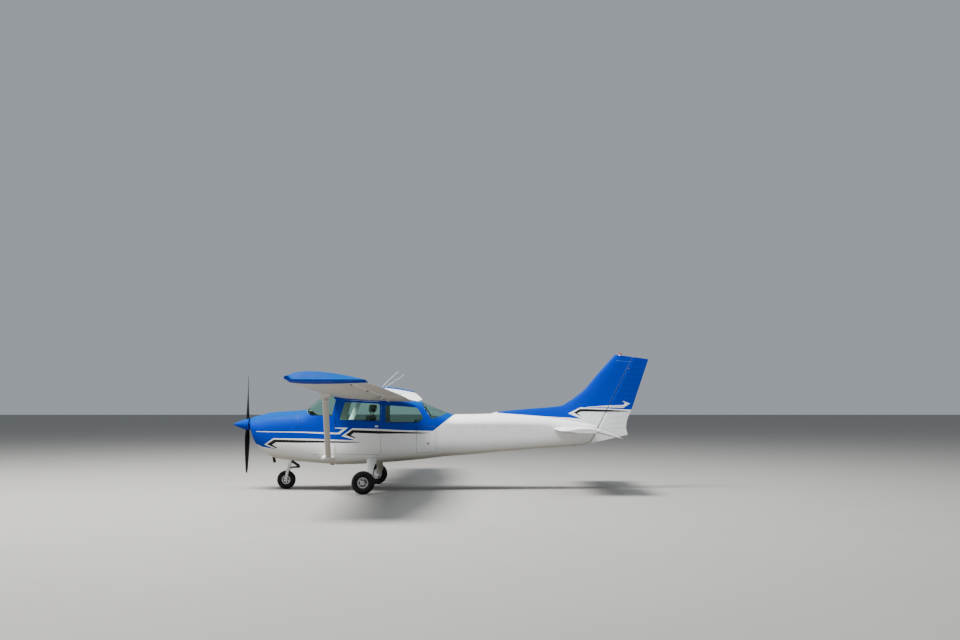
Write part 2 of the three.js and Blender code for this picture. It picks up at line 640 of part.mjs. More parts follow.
// share of the spinner's length from its tip, share of its radius
const SPINNER = [[0, 0], [0.03, 0.07], [0.12, 0.2], [0.34, 0.47], [0.66, 0.78], [1, 1]];
function spinner() {
  const length = SPINNER_BACK_X - NOSE_X;
  const profile = SPINNER.map(([along, wide]) => [SPINNER_RADIUS * wide, -length * (1 - along)]);
  const cone = solid(new THREE.LatheGeometry([...profile, [0, 0]]
    .map(([r, x]) => new THREE.Vector2(r, x)), 20)
    .rotateZ(-Math.PI / 2).translate(SPINNER_BACK_X, 0, SHAFT_Z));
  const room = rod([SPINNER_BACK_X + 5, 0, SHAFT_Z], [PROP_X - 46 - SEAT_GAP, 0, SHAFT_Z],
    HUB_RADIUS + SEAT_GAP, 24);
  const slot = box(PROP_X - 44, SPINNER_BACK_X + 5, -46, 46, SHAFT_Z - 200, SHAFT_Z + 200);
  return cut(cone, room, slot);
}

// Tail

const rudderX = (z) => RUDDER_HINGE.x + RUDDER_HINGE.slope * (z - RUDDER_HINGE.z);
const RUDDER_SKIN = 6;
const RUDDER_LEAN = 1 / Math.cos(Math.atan(RUDDER_HINGE.slope));
// z, half thickness at the hinge, trailing edge x
const RUDDER = [[860, 50, 3700], [1054, 50, 3672], [1191, 49, 3640], [1290, 48, 3650], [1592, 44, 3768],
  [2540, 32, 4098.5], [2640, 31, 4134]];
const TAIL_TOP = [[2900, 2704], [4300, 2518], [4300, 3000], [2900, 3000]];
const RUDDER_FOOT = [[2700, 838], [3800, 1086], [3800, 600], [2700, 600]];
function rudderBlank(skin = 0) {
  return loft(RUDDER.map(([z, half, tail]) => {
    const share = (half - skin - TAIL_HALF) / (half - TAIL_HALF);
    const end = THREE.MathUtils.lerp(rudderX(z), tail, share);
    const section = surfaceSection([rudderX(z), 0], half - skin, [end, 0], RUDDER_LEAN);
    return section.map(([x, y]) => [x, y, z]);
  }));
}

function rudder() {
  const inside = rudderBlank(RUDDER_SKIN).intersect(box(2900, 4200, -100, 100, 1120, 2440));
  return cut(rudderBlank(), inside, sidePrism(TAIL_TOP, -200, 200), sidePrism(RUDDER_FOOT, -200, 200),
    ...RUDDER_HINGES.map((z) => hingeSlot([rudderX(z), 0, z], RUDDER_AXIS, rudderHalf(z) + 14)));
}

// Brackets of the rudder's hinge line, carried by the fin
const RUDDER_AXIS = [RUDDER_HINGE.slope, 0, 1];
const RUDDER_HINGES = [1480, 2360];
const rudderHalf = (z) => RUDDER.findLast((row) => row[0] <= z)[1];
const rudderBracket = (z) => hingeEye([rudderX(z), 0, z], RUDDER_AXIS,
  [rudderX(z) - 100, 0, z], rudderHalf(z) * 0.6, 34);

// z, leading edge x, half thickness at the thickest, half thickness at the trailing edge
const FIN = [[1180, 2010, 60, 50], [1500, 2330, 58, 46], [1704, 2522, 54, 43], [1931, 2808, 49, 40],
  [2243, 3080, 43, 36], [2626, 3428, 36, 31], [2660, 3460, 35, 31]];
// share of the chord, share of the thickest half thickness
const FIN_NOSE = [[0, 0], [0.02, 0.3], [0.08, 0.6], [0.2, 0.87], [0.4, 1]];
const FIN_SKIN = 9;
function finBlank(skin = 0) {
  return loft(FIN.map(([z, lead, thick, end]) => {
    const tail = rudderX(z) - rudderHalf(z) * RUDDER_LEAN - MOVE_GAP - 3 + skin;
    const start = lead + 6 * skin;
    const side = FIN_NOSE.map(([along, wide]) => [start + (tail - start) * along, (thick - skin) * wide]);
    const right = [...side, [tail, end - skin]];
    const left = right.slice(1).reverse().map(([x, y]) => [x, -y]);
    return [...right, ...left].map(([x, y]) => [x, y, z - 2 * skin]);
  }));
}

// Room inside the fin's skin, open to the rear
function finHollow() {
  return finBlank(FIN_SKIN).intersect(box(2600, 4000, -100, 100, 1560, 2280));
}

function fin() {
  const blank = finBlank();
  const body = hull(200, 3090, 3 * SEAT_GAP);
  const outside = cut(join(blank, dorsal()), finHollow(), sidePrism(TAIL_TOP, -200, 200), body,
    body.translate([2 * SEAT_GAP, 0, 0]), rearClear());
  return join(outside, ...RUDDER_HINGES.map(rudderBracket));
}

// x, ridge z, half width of the foot
const DORSAL = [[1000, 1480, 40], [1121, 1507, 44], [1671, 1562, 52], [2351, 1622, 58], [2560, 1742, 56]];
function dorsal() {
  return loft(DORSAL.map(([x, ridge, foot]) => {
    const base = hullRow(x)[4] - 110;
    const right = [[foot, base], [foot * 0.62, base + (ridge - base) * 0.5], [8, ridge - 10], [3, ridge]];
    const left = right.slice().reverse().map(([y, z]) => [-y, z]);
    return [...right, ...left].map(([y, z]) => [x, y, z]);
  }));
}

// Room behind the fin and tail cone for the rudder's nose
function rearClear() {
  const back = (z) => rudderX(z) - 50 * RUDDER_LEAN - MOVE_GAP;
  return sidePrism([[back(1100), 1100], [back(1300), 1300], [4000, 1300], [4000, 1100]], -200, 200);
}

function stabRing(y, size, grow) {
  const [hinge] = ELEVATOR_HINGE;
  const end = hinge - ELEVATOR_NOSE - MOVE_GAP;
  const lead = hinge - (hinge - STAB_LEAD_X) * size;
  return Array.from({ length: 2 * FOIL_STEPS + 1 }, (_, i) => {
    const turn = (Math.PI * i) / FOIL_STEPS;
    const share = (1 + Math.cos(turn)) / 2;
    const along = (share * (end - STAB_LEAD_X)) / STAB_CHORD;
    const half = foil(along, STAB_FOIL).half * STAB_CHORD * Math.sqrt(size) + grow;
    const x = THREE.MathUtils.lerp(lead, end, share) + grow * Math.cos(turn);
    return [x, y, STAB_Z + (i <= FOIL_STEPS ? half : -half)];
  });
}

// y, share of the chord
const STAB_STATIONS = [[-1725, 0.7], [-1690, 0.9], [-1620, 1], [1620, 1], [1690, 0.9], [1725, 0.7]];
function stabilizer(grow = 0) {
  return loft(STAB_STATIONS.map(([y, size]) => stabRing(y, size, grow)));
}

// Room inside the skin, open to the rear
const STAB_SKIN = 7;
const STAB_RIB = 24;
function stabHollow() {
  const inner = loft([-1600, 1600].map((y) => stabRing(y, 1, -STAB_SKIN)));
  const ribs = ELEVATOR_HINGES.map((y) => box(2200, 3000, y - STAB_RIB, y + STAB_RIB, 1000, 1300));
  return cut(inner.translate([3 * STAB_SKIN, 0, 0]), ...ribs);
}

const ELEVATOR_INNER = 160;
// y, nose radius, chord
const ELEVATOR_ROWS = [[ELEVATOR_INNER, ELEVATOR_NOSE, ELEVATOR_CHORD], [1640, 34, ELEVATOR_CHORD],
  [1700, 30, 440], [STAB_HALF_SPAN, 22, 360]];
const ELEVATOR_ROOM = [[ELEVATOR_INNER + 20, ELEVATOR_NOSE - 6, 388], [1600, 28, 380]];
function elevatorHalf(side, rows) {
  const [hx, hz] = ELEVATOR_HINGE;
  const tail = (chord) => [hx + chord * Math.cos(ELEVATOR_DROOP), hz - chord * Math.sin(ELEVATOR_DROOP)];
  return loft(rows.map(([y, radius, chord]) => surfaceSection([hx, hz], radius, tail(chord))
    .map(([x, z]) => [x, side * y, z])));
}

function elevator() {
  const [hx, hz] = ELEVATOR_HINGE;
  const tube = rod([hx, -ELEVATOR_INNER - 10, hz], [hx, ELEVATOR_INNER + 10, hz], ELEVATOR_TUBE, 16);
  const body = join(elevatorHalf(-1, ELEVATOR_ROWS), elevatorHalf(1, ELEVATOR_ROWS), tube);
  return cut(body, elevatorHalf(-1, ELEVATOR_ROOM), elevatorHalf(1, ELEVATOR_ROOM),
    ...ELEVATOR_HINGES.map((y) => hingeSlot([hx, y, hz], [0, 1, 0], ELEVATOR_NOSE + 4)));
}

const BRACKET_ROOT_X = 2530;
const elevatorBracket = (y) => {
  const [hx, hz] = ELEVATOR_HINGE;
  return hingeEye([hx, y, hz], [0, 1, 0], [BRACKET_ROOT_X, y, hz], 20, 26);
};

function fullStabilizer() {
  return join(cut(stabilizer(), stabHollow()), ...ELEVATOR_HINGES.map(elevatorBracket));
}

const TAIL_SKIN = 8;
const TAIL_HOLLOW_X = 2700;
function tailCone() {
  const [hx, hz] = ELEVATOR_HINGE;
  const hollow = hull(CABIN_END_X - 60, TAIL_HOLLOW_X, -TAIL_SKIN);
  const body = hull(CABIN_END_X + SEAT_GAP, HULL.at(-1)[0]).subtract(hollow);
  const tubeHole = rod([hx, -300, hz], [hx, 300, hz], ELEVATOR_TUBE + 3 * SEAT_GAP, 16);
  const lug = box(2560, 2620, -15, 15, 798, 870);
  const bay = box(hx - ELEVATOR_NOSE - MOVE_GAP, hx + 140, -300, 300, hz - 60, hz + 48);
  return cut(join(body, lug), stabilizer(SEAT_GAP), tubeHole, bay.intersect(elevatorClear()));
}

// Room in the tail cone round the inner ends of the elevator
function elevatorClear() {
  const edge = ELEVATOR_INNER - 30;
  return join(box(2500, 3300, edge, 400, 900, 1400), box(2500, 3300, -400, -edge, 900, 1400));
}

// Cabin

function cabinShell() {
  const fixedKnuckles = [knuckles(DOOR_HINGE, -1, false), knuckles(DOOR_HINGE, 1, false),
    knuckles(BAGGAGE_HINGE, -1, false)];
  const through = (corners, options) => sidePrism(corners, -PAST_SIDE, PAST_SIDE, options);
  const oneSide = (corners, side, options) => {
    const [y0, y1] = sideRange(side, DOOR_REACH, PAST_SIDE);
    return sidePrism(corners, y0, y1, options);
  };
  const body = cut(wall, through(WINDSHIELD, { radius: 18 }), through(REAR_WINDOW, { radius: 24 }),
    ...[-1, 1].flatMap((side) => [
      oneSide(DOOR, side, { radius: 60 }), oneSide(SIDE_WINDOW, side, { radius: 50 }),
      wingBlank(side, SEAT_GAP),
    ]),
    oneSide(BAGGAGE_DOOR, -1, { radius: 40 }));
  return join(body, ...fixedKnuckles);
}

// Knuckles on one hinge line: the fixed one below, the moving one above, each with its leaf
const KNUCKLE = { radius: 8, height: 36, leaf: 10 };
function knuckles(hinge, side, moving) {
  return join(...hinge.heights.map((low) => {
    const z0 = low + (moving ? KNUCKLE.height + SEAT_GAP : 0);
    const [x, y] = [hinge.x, side * hinge.y];
    const [y0, y1] = sideRange(side, hinge.y - hinge.reach, hinge.y);
    const pin = rod([x, y, z0], [x, y, z0 + KNUCKLE.height], KNUCKLE.radius, 8);
    const [x0, x1] = moving ? [x, x + KNUCKLE.leaf + MOVE_GAP] : [x - KNUCKLE.leaf - MOVE_GAP, x];
    return join(pin, box(x0, x1, y0, y1, z0, z0 + KNUCKLE.height));
  }));
}

const DOOR_HINGE = { x: -2029, y: 546, reach: 28, heights: [800, 1290] };
const BAGGAGE_HINGE = { x: -462, y: 520, reach: 30, heights: [830, 1100] };

function pane(corners, side, radius, inset = SEAT_GAP) {
  const [y0, y1] = side ? sideRange(side, DOOR_REACH, PAST_SIDE) : [-PAST_SIDE, PAST_SIDE];
  return glazing.intersect(sidePrism(corners, y0, y1, { inset, radius }));
}

function doorPanel(corners, side, radius) {
  const [y0, y1] = sideRange(side, DOOR_REACH, PAST_SIDE);
  return wall.intersect(sidePrism(corners, y0, y1, { inset: MOVE_GAP, radius: radius - MOVE_GAP }));
}

function door(side) {
  const [y0, y1] = sideRange(side, DOOR_REACH, PAST_SIDE);
  const panel = doorPanel(DOOR, side, 60).subtract(sidePrism(DOOR_WINDOW, y0, y1, { radius: 45 }));
  return join(panel, knuckles(DOOR_HINGE, side, true));
}

const room = hullInside(FIREWALL_X, CABIN_END_X - 80, WALL + SEAT_GAP);
const PANEL_X = -2250;
function instrumentPanel() {
  const face = box(PANEL_X - 40, PANEL_X, -600, 600, 1090, 1430);
  const shelf = box(-2620, PANEL_X + 30, -600, 600, 1404, 1430);
  return join(face, shelf).intersect(room);
}

const SEAT_Y = 240;
// Seat about its own foot: rails, cushion, back
function frontSeat() {
  const foot = box(-200, 220, -160, 160, 0, 150);
  const cushion = box(-250, 270, -215, 215, 150, 300);
  const back = sidePrism([[200, 250], [310, 250], [420, 830], [330, 840]], -208, 208, { radius: 30 });
  return join(foot, cushion, back);
}

function rearBench() {
  const foot = box(-970, -560, -400, 400, FLOOR_Z + SEAT_GAP, 780);
  const cushion = box(-1010, -540, -440, 440, 780, 930);
  const back = sidePrism([[-600, 900], [-490, 900], [-400, 1380], [-490, 1390]], -440, 440,
    { radius: 30 });
  return join(foot, cushion, back).intersect(room);
}

function yoke() {
  const shaft = rod([SEAT_GAP, 0, 0], [150, 0, 0], 14, 12);
  const bar = box(140, 165, -110, 110, -18, 18);
  const grip = (side) => {
    const [y0, y1] = sideRange(side, 105, 135);
    return box(138, 167, y0, y1, -18, 110);
  };
  return join(shaft, bar, grip(-1), grip(1));
}

// Whips and beacon
function whip(foot, tip) {
  return join(rod([foot[0] + 22, foot[1], foot[2] + 12], tip, 4.5, 8, 2.5),
    rod([foot[0], foot[1], foot[2] - 14], [foot[0] + 40, foot[1], foot[2] + 32], 16, 10, 8));
}

const roofZ = (x) => hullRow(x)[4];

// Scene

const aircraft = new THREE.Group();

function add(name, body, finish, parent = aircraft) {
  const mesh = new THREE.Mesh(geometryOf(body), new THREE.MeshStandardMaterial(FINISH[finish]));
  mesh.name = name;
  parent.add(mesh);
  return mesh;
}

const cowl = cowling();
const SPLIT_HALF = SEAT_GAP / 2;
add('cowling_upper', cowl.intersect(box(-4200, 0, -900, 900, COWL_SPLIT_Z + SPLIT_HALF, 2000)), 'blue');
add('cowling_lower', cowl.intersect(box(-4200, 0, -900, 900, 0, COWL_SPLIT_Z - SPLIT_HALF)), 'white');
add('engine', engine(), 'cast');
add('exhaust_pipe', exhaust(), 'black');
add('spinner', spinner(), 'blue');
add('propeller', propeller(), 'black');
add('firewall', hull(FIREWALL_X, FIREWALL_X + FIREWALL_THICK), 'steel');
add('cabin_shell', cabinShell(), 'blue');
add('windshield', pane(WINDSHIELD, 0, 18), 'glass');
add('rear_window', pane(REAR_WINDOW, 0, 24), 'glass');
add('tailcone', tailCone(), 'white');
add('fin', fin(), 'blue');
add('rudder', rudder(), 'blue');
add('horizontal_stabilizer', fullStabilizer(), 'white');
add('elevator', elevator(), 'white');
add('baggage_door', join(doorPanel(BAGGAGE_DOOR, -1, 40), knuckles(BAGGAGE_HINGE, -1, true)), 'white');
add('instrument_panel', instrumentPanel(), 'black');
add('rear_bench', rearBench(), 'fabric');
add('nose_oleo', noseOleo(), 'steel');
add('nose_fork', noseFork(), 'steel');
add('torque_link', torqueLink(), 'black');

function addWheel(name, size, y) {
  const wheel = new THREE.Group();
  wheel.position.set(size.x, y, size.radius);
  add(`${name}_tyre`, tyre(size), 'rubber', wheel);
  add(`${name}_hub`, hub(size), 'alloy', wheel);
  aircraft.add(wheel);
}
addWheel('nose_wheel', NOSE, 0);

for (const [label, side] of [['left', -1], ['right', 1]]) {
  add(`wing_${label}`, wing(side), 'white');
  add(`wing_tip_${label}`, wingTip(side), 'blue');
  add(`flap_${label}`, hingedSurface(side, FLAP, HINGE_STATIONS.flap), 'white');
  add(`aileron_${label}`, hingedSurface(side, AILERON, HINGE_STATIONS.aileron), 'white');
  add(`wing_strut_${label}`, wingStrut(side), 'white');
  add(`main_leg_${label}`, mainLeg(side), 'white');
  add(`main_axle_${label}`, mainAxle(side), 'steel');
  addWheel(`main_wheel_${label}`, MAIN, side * MAIN.y);
  add(`door_${label}`, door(side), 'blue');
  add(`door_window_${label}`, pane(DOOR_WINDOW, side, 45), 'glass');
  add(`side_window_${label}`, pane(SIDE_WINDOW, side, 50), 'glass');
  add(`seat_front_${label}`, frontSeat(), 'fabric').position.set(-1740, side * SEAT_Y, FLOOR_Z + SEAT_GAP);
  add(`yoke_${label}`, yoke(), 'black').position.set(PANEL_X, side * SEAT_Y, 1190);
  const foot = [-1240, side * 180, roofZ(-1240)];
  add(`antenna_${label}`, whip(foot, [-846 + 50 * (side + 1), side * 180, 2296 - 25 * (side + 1)])
    .subtract(hull(-1500, -1000, SEAT_GAP)), 'white');
}
const beacon = new THREE.SphereGeometry(36, 12, 6).scale(1, 1, 1.1).translate(3540, 0, 2627);
add('beacon', solid(beacon).subtract(sidePrism([[2900, 2704 + SEAT_GAP], [4300, 2518 + SEAT_GAP],
  [4300, 2000], [2900, 2000]], -200, 200)), 'red');

export default aircraft;
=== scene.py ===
import math

import bmesh
import bpy
import numpy as np
from mathutils import Matrix, Vector


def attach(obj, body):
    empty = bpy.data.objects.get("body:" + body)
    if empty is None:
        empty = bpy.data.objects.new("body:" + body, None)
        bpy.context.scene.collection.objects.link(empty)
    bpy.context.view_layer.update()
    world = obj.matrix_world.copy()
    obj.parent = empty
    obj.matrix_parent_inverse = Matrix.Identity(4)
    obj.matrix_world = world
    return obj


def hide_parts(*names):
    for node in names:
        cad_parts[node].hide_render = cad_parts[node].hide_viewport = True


# A light aircraft: high wing on struts, four seats, one piston engine, fixed nose-wheel gear.
# Tables are in millimetres, +X aft, +Y to the right wing, +Z up. MM turns them into metres.
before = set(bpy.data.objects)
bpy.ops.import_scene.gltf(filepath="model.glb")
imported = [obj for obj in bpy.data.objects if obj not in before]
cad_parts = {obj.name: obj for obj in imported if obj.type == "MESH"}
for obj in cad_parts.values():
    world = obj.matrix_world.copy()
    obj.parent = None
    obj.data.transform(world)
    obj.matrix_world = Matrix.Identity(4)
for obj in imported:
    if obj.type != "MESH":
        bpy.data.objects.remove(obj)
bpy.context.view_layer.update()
MM = 0.001
SIDES = (("left", -1), ("right", 1))


# Camera, floor and light

CAMERA = {"place": (0.76, -19.6, 1.59), "tilt": 95.06, "lens": 37.05, "sensor": 36.0}


def add_camera():
    data = bpy.data.cameras.new("camera")
    data.lens, data.sensor_width = CAMERA["lens"], CAMERA["sensor"]
    data.clip_end = 600
    camera = bpy.data.objects.new("camera", data)
    camera.location = CAMERA["place"]
    camera.rotation_euler = (math.radians(CAMERA["tilt"]), 0, 0)
    bpy.context.scene.collection.objects.link(camera)
    bpy.context.scene.camera = camera


def add_light(name, place, size, power, colour):
    data = bpy.data.lights.new(name, "AREA")
    data.shape, data.size, data.energy, data.color = "DISK", size, power, colour
    light = bpy.data.objects.new(name, data)
    light.location = place
    light.rotation_euler = (LIGHT_AIM - Vector(place)).to_track_quat("-Z", "Y").to_euler()
    bpy.context.scene.collection.objects.link(light)


def add_sky(colour, strength):
    world = bpy.data.worlds.new("studio")
    bpy.context.scene.world = world
    world.use_nodes = True
    background = world.node_tree.nodes["Background"]
    background.inputs["Color"].default_value = (*colour, 1)
    background.inputs["Strength"].default_value = strength


# name, place, size, power, colour
LIGHTS = (("key", (-8, -4, 18), 9, 12500, (1, 0.985, 0.95)),
          ("top", (3, -2, 18), 14, 1500, (0.90, 0.97, 1)))
LIGHT_AIM = Vector((0, 0, 1))
SKY_COLOUR, SKY_STRENGTH = (0.80, 0.87, 0.95), 0.42


def add_studio():
    add_sky(SKY_COLOUR, SKY_STRENGTH)
    for light in LIGHTS:
        add_light(*light)


# Materials: every finish is procedural, in the piece's own coordinates

class Finish:
    """A principled material and short calls that vary it."""

    def __init__(self, name, colour, roughness, metallic=0.0):
        self.material = bpy.data.materials.new(name)
        self.material.use_nodes = True
        self.tree = self.material.node_tree
        self.bsdf = self.tree.nodes["Principled BSDF"]
        self.set("Base Color", (*colour, 1))
        self.set("Roughness", roughness)
        self.set("Metallic", metallic)
        self.colour = colour
        self.where = self.node("ShaderNodeTexCoord").outputs["Object"]
        self.height = None

    def set(self, socket, value):
        self.bsdf.inputs[socket].default_value = value
        return self

    def node(self, kind, **values):
        node = self.tree.nodes.new(kind)
        for key, value in values.items():
            setattr(node, key, value)
        return node

    def link(self, output, target):
        self.tree.links.new(output, target)

    def noise(self, scale, detail=3.0, stretch=(1, 1, 1)):
        mapping = self.node("ShaderNodeMapping")
        mapping.inputs["Scale"].default_value = stretch
        self.link(self.where, mapping.inputs["Vector"])
        noise = self.node("ShaderNodeTexNoise")
        noise.inputs["Scale"].default_value = scale
        noise.inputs["Detail"].default_value = detail
        self.link(mapping.outputs["Vector"], noise.inputs["Vector"])
        return noise.outputs["Fac"]

    def remap(self, value, low, high, start=0.3, end=0.7):
        remap = self.node("ShaderNodeMapRange")
        for key, number in (("From Min", start), ("From Max", end), ("To Min", low), ("To Max", high)):
            remap.inputs[key].default_value = number
        self.link(value, remap.inputs["Value"])
        return remap.outputs["Result"]

    def mottle(self, value, other, share=1.0):
        """Mixes the base colour towards another one."""
        mix = self.node("ShaderNodeMix", data_type="RGBA")
        mix.inputs[6].default_value = (*self.colour, 1)
        mix.inputs[7].default_value = (*other, 1)
        self.link(self.remap(value, 0, share), mix.inputs[0])
        self.link(mix.outputs[2], self.bsdf.inputs["Base Color"])
        return self

    def paint_light_by_facing(self, colour, start=-0.05, end=-0.8):
        """Painted light and shade: turns the base colour towards another one where the piece faces down, or
        up.
        """
        facing = self.node("ShaderNodeSeparateXYZ")
        self.link(self.where.node.outputs["Normal"], facing.inputs["Vector"])
        mix = self.node("ShaderNodeMix", data_type="RGBA")
        mix.inputs[7].default_value = (*colour, 1)
        self.link(self.bsdf.inputs["Base Color"].links[0].from_socket, mix.inputs[6])
        self.link(self.remap(facing.outputs["Z"], 0, 1, start, end), mix.inputs[0])
        self.link(mix.outputs[2], self.bsdf.inputs["Base Color"])
        return self

    def vary_roughness(self, value, low, high):
        self.link(self.remap(value, low, high), self.bsdf.inputs["Roughness"])
        return self

    def bump(self, value, distance, strength=1.0):
        bump = self.node("ShaderNodeBump")
        bump.inputs["Distance"].default_value = distance
        bump.inputs["Strength"].default_value = strength
        self.link(value, bump.inputs["Height"])
        if self.height:
            self.link(self.height, bump.inputs["Normal"])
        self.height = bump.outputs["Normal"]
        self.link(self.height, self.bsdf.inputs["Normal"])
        return self


def enamel(name, colour, grime, underside_shade, crown=None):
    """Gloss paint on sheet metal: a faint waviness, patches of grime, painted shade on the undersides, and
    a painted sky reflection on the tops where a crown colour is given.
    """
    finish = Finish(name, colour, 0.36)
    finish.mottle(finish.noise(1.7, 6), grime, 0.12)
    # Painted shade: the base colour darkens towards the underside colour where the piece faces down.
    finish.paint_light_by_facing(underside_shade)
    # Painted sky reflection: where the piece faces up, the colour turns towards the crown colour, a greener
    # blue.
    if crown:
        finish.paint_light_by_facing(crown, 0.2, 0.95)
    finish.vary_roughness(finish.noise(5, 4), 0.42, 0.56)
    finish.bump(finish.noise(3.0, 2), 0.004, 0.35)
    finish.bump(finish.noise(420, 2), 0.0002, 0.25)
    finish.set("Specular IOR Level", 0.02 if crown else 0.1)
    return finish.material


def clear_pane(name, colour):
    finish = Finish(name, colour, 0.02)
    finish.set("Transmission Weight", 1.0).set("IOR", 1.12)
    finish.bump(finish.noise(6, 1), 0.0006, 0.3)
    return finish.material


def bare_metal(name, colour, roughness):
    finish = Finish(name, colour, roughness, 1.0)
    finish.vary_roughness(finish.noise(60, 5), roughness * 0.7, min(1, roughness * 1.4))
    finish.mottle(finish.noise(14, 5), tuple(0.55 * c for c in colour), 0.5)
    finish.bump(finish.noise(300, 3), 0.0002, 0.4)
    return finish.material


def rubber(name):
    finish = Finish(name, (0.006, 0.006, 0.007), 0.8)
    finish.mottle(finish.noise(11, 5), (0.03, 0.028, 0.025), 0.4)
    finish.set("Specular IOR Level", 0.25)
    finish.vary_roughness(finish.noise(30, 4), 0.7, 0.95)
    finish.bump(finish.noise(260, 4), 0.0006, 0.6)
    return finish.material


def plastic(name, colour, roughness=0.5):
    finish = Finish(name, colour, roughness)
    finish.vary_roughness(finish.noise(24, 4), roughness * 0.8, min(1, roughness * 1.25))
    finish.mottle(finish.noise(7, 4), tuple(0.7 * c for c in colour), 0.4)
    finish.bump(finish.noise(700, 2), 0.0003, 0.5)
    return finish.material


def cloth(name, colour, other):
    """Woven cover: crossing threads as bump, and worn patches."""
    finish = Finish(name, colour, 0.95)
    finish.mottle(finish.noise(4, 5), other, 0.7)
    finish.set("Sheen Weight", 0.35).set("Sheen Roughness", 0.4)
    for stretch in ((1, 1, 8), (8, 1, 1)):
        finish.bump(finish.noise(160, 2, stretch), 0.0012, 0.5)
    return finish.material


def cast(name, colour):
    finish = Finish(name, colour, 0.6, 0.6)
    finish.mottle(finish.noise(9, 6), (0.08, 0.07, 0.06), 0.8)
    finish.bump(finish.noise(90, 5), 0.002, 0.6)
    return finish.material


BLUE = (0.0, 0.035, 0.39)
WHITE = (0.84, 0.85, 0.86)
# The fourth colour of each enamel is painted shade for its undersides; the blue's fifth is a painted sky
# reflection for its tops.
PAINT = {
    "blue": enamel("blue_enamel", BLUE, (0.0, 0.03, 0.30), (0.0, 0.02, 0.22), (0.0, 0.058, 0.24)),
    "white": enamel("white_enamel", WHITE, (0.62, 0.60, 0.55), (0.36, 0.34, 0.30)),
    "black": enamel("black_enamel", (0.012, 0.012, 0.014), (0.03, 0.03, 0.03), (0.01, 0.01, 0.01)),
    "seam": plastic("seam_shadow", (0.12, 0.13, 0.15), 0.7),
    "faint": plastic("lap_joint", (0.42, 0.43, 0.45), 0.6),
    "deep": plastic("deep_blue", (0.0, 0.012, 0.13), 0.6),
    "cap": plastic("cap_joint", (0.10, 0.24, 0.56), 0.5),
    "lining": plastic("cabin_lining", (0.62, 0.61, 0.56), 0.8),
    "edge": plastic("shaded_edge", (0.07, 0.075, 0.085), 0.7),
    "glass": clear_pane("tinted_acrylic", (0.62, 0.84, 0.78)),
}
STEEL = bare_metal("satin_steel", (0.55, 0.56, 0.58), 0.35)
CHROME = bare_metal("polished_steel", (0.75, 0.76, 0.78), 0.12)
ALLOY = bare_metal("brushed_alloy", (0.70, 0.71, 0.73), 0.4)
RUBBER = rubber("tyre_rubber")
# Its fourth colour is painted shade for the undersides of the blades.
BLADE_PAINT = enamel("blade_paint", (0.008, 0.008, 0.01), (0.02, 0.02, 0.02), (0.008, 0.008, 0.01))
WHEEL_PAINT = plastic("wheel_paint", (0.66, 0.67, 0.68), 0.35)
WHEEL_SHADE = plastic("wheel_web", (0.12, 0.12, 0.125), 0.6)
DARK_PLASTIC = plastic("dark_plastic", (0.03, 0.031, 0.034), 0.55)
EXHAUST = bare_metal("burnt_steel", (0.03, 0.026, 0.024), 0.7)
HINGE_GREY = plastic("hinge_grey", (0.27, 0.265, 0.25), 0.55)
CAST = cast("rough_casting", (0.32, 0.32, 0.33))
SEAT_CLOTH = cloth("grey_weave", (0.20, 0.21, 0.22), (0.13, 0.13, 0.135))
RED_LENS = clear_pane("red_lens", (0.85, 0.03, 0.02))
GREEN_LENS = clear_pane("green_lens", (0.02, 0.7, 0.2))


# Mesh tools

def piece_of(name, points, faces):
    mesh = bpy.data.meshes.new(name)
    mesh.from_pydata((np.asarray(points, float) * MM).tolist(), [], faces)
    piece = bpy.data.objects.new(name, mesh)
    bpy.context.scene.collection.objects.link(piece)
    return piece


def face_out(piece):
    grid = bmesh.new()
    grid.from_mesh(piece.data)
    bmesh.ops.recalc_face_normals(grid, faces=grid.faces)
    grid.to_mesh(piece.data)
    grid.free()
    return piece


def loft(name, rings, closed=False):
    """Skin over rings of [x, y, z] points. It has two end caps, or else closes on its first ring."""
    count, total = len(rings[0]), len(rings)
    points = [p for ring in rings for p in ring]
    faces = []
    for i in range(total if closed else total - 1):
        for j in range(count):
            a, b = j, (j + 1) % count
            near, far = i * count, ((i + 1) % total) * count
            faces.append((near + a, near + b, far + b, far + a))
    if not closed:
        faces.append(tuple(range(count)))
        faces.append(tuple((total - 1) * count + j for j in range(count)))
    return face_out(piece_of(name, points, faces))


def settle(piece):
    """Applies the piece's modifiers to its mesh."""
    graph = bpy.context.evaluated_depsgraph_get()
    graph.update()
    mesh = bpy.data.meshes.new_from_object(piece.evaluated_get(graph), depsgraph=graph)
    piece.modifiers.clear()
    piece.data = mesh
    return piece


def combine(piece, others, operation):
    for other in others:
        modifier = piece.modifiers.new("combine", "BOOLEAN")
        modifier.operation, modifier.solver, modifier.object = operation, "MANIFOLD", other
    settle(piece)
    for other in others:
        bpy.data.objects.remove(other)
    return piece


def cut(piece, *others):
    return combine(piece, others, "DIFFERENCE")


def keep_inside(piece, *others):
    return combine(piece, others, "INTERSECT")


def fuse(piece, *others):
    return combine(piece, others, "UNION")


def gather(name, pieces):
    """Joins separate shells into one piece and keeps their materials."""
    grid = bmesh.new()
    materials = []
    for piece in pieces:
        start = len(grid.faces)
        grid.from_mesh(piece.data)
        grid.faces.ensure_lookup_table()
        slots = [materials.append(m) or len(materials) - 1 for m in piece.data.materials]
        for face in grid.faces[start:]:
            face.material_index = slots[face.material_index] if slots else 0
    mesh = bpy.data.meshes.new(name)
    grid.to_mesh(mesh)
    grid.free()
    for material in materials:
        mesh.materials.append(material)
    for piece in pieces:
        bpy.data.objects.remove(piece)
    whole = bpy.data.objects.new(name, mesh)
    bpy.context.scene.collection.objects.link(whole)
    return whole


def finish_with(piece, material):
    """One material all over."""
    piece.data.materials.clear()
    piece.data.materials.append(material)
    for face in piece.data.polygons:
        face.material_index = 0
    return piece


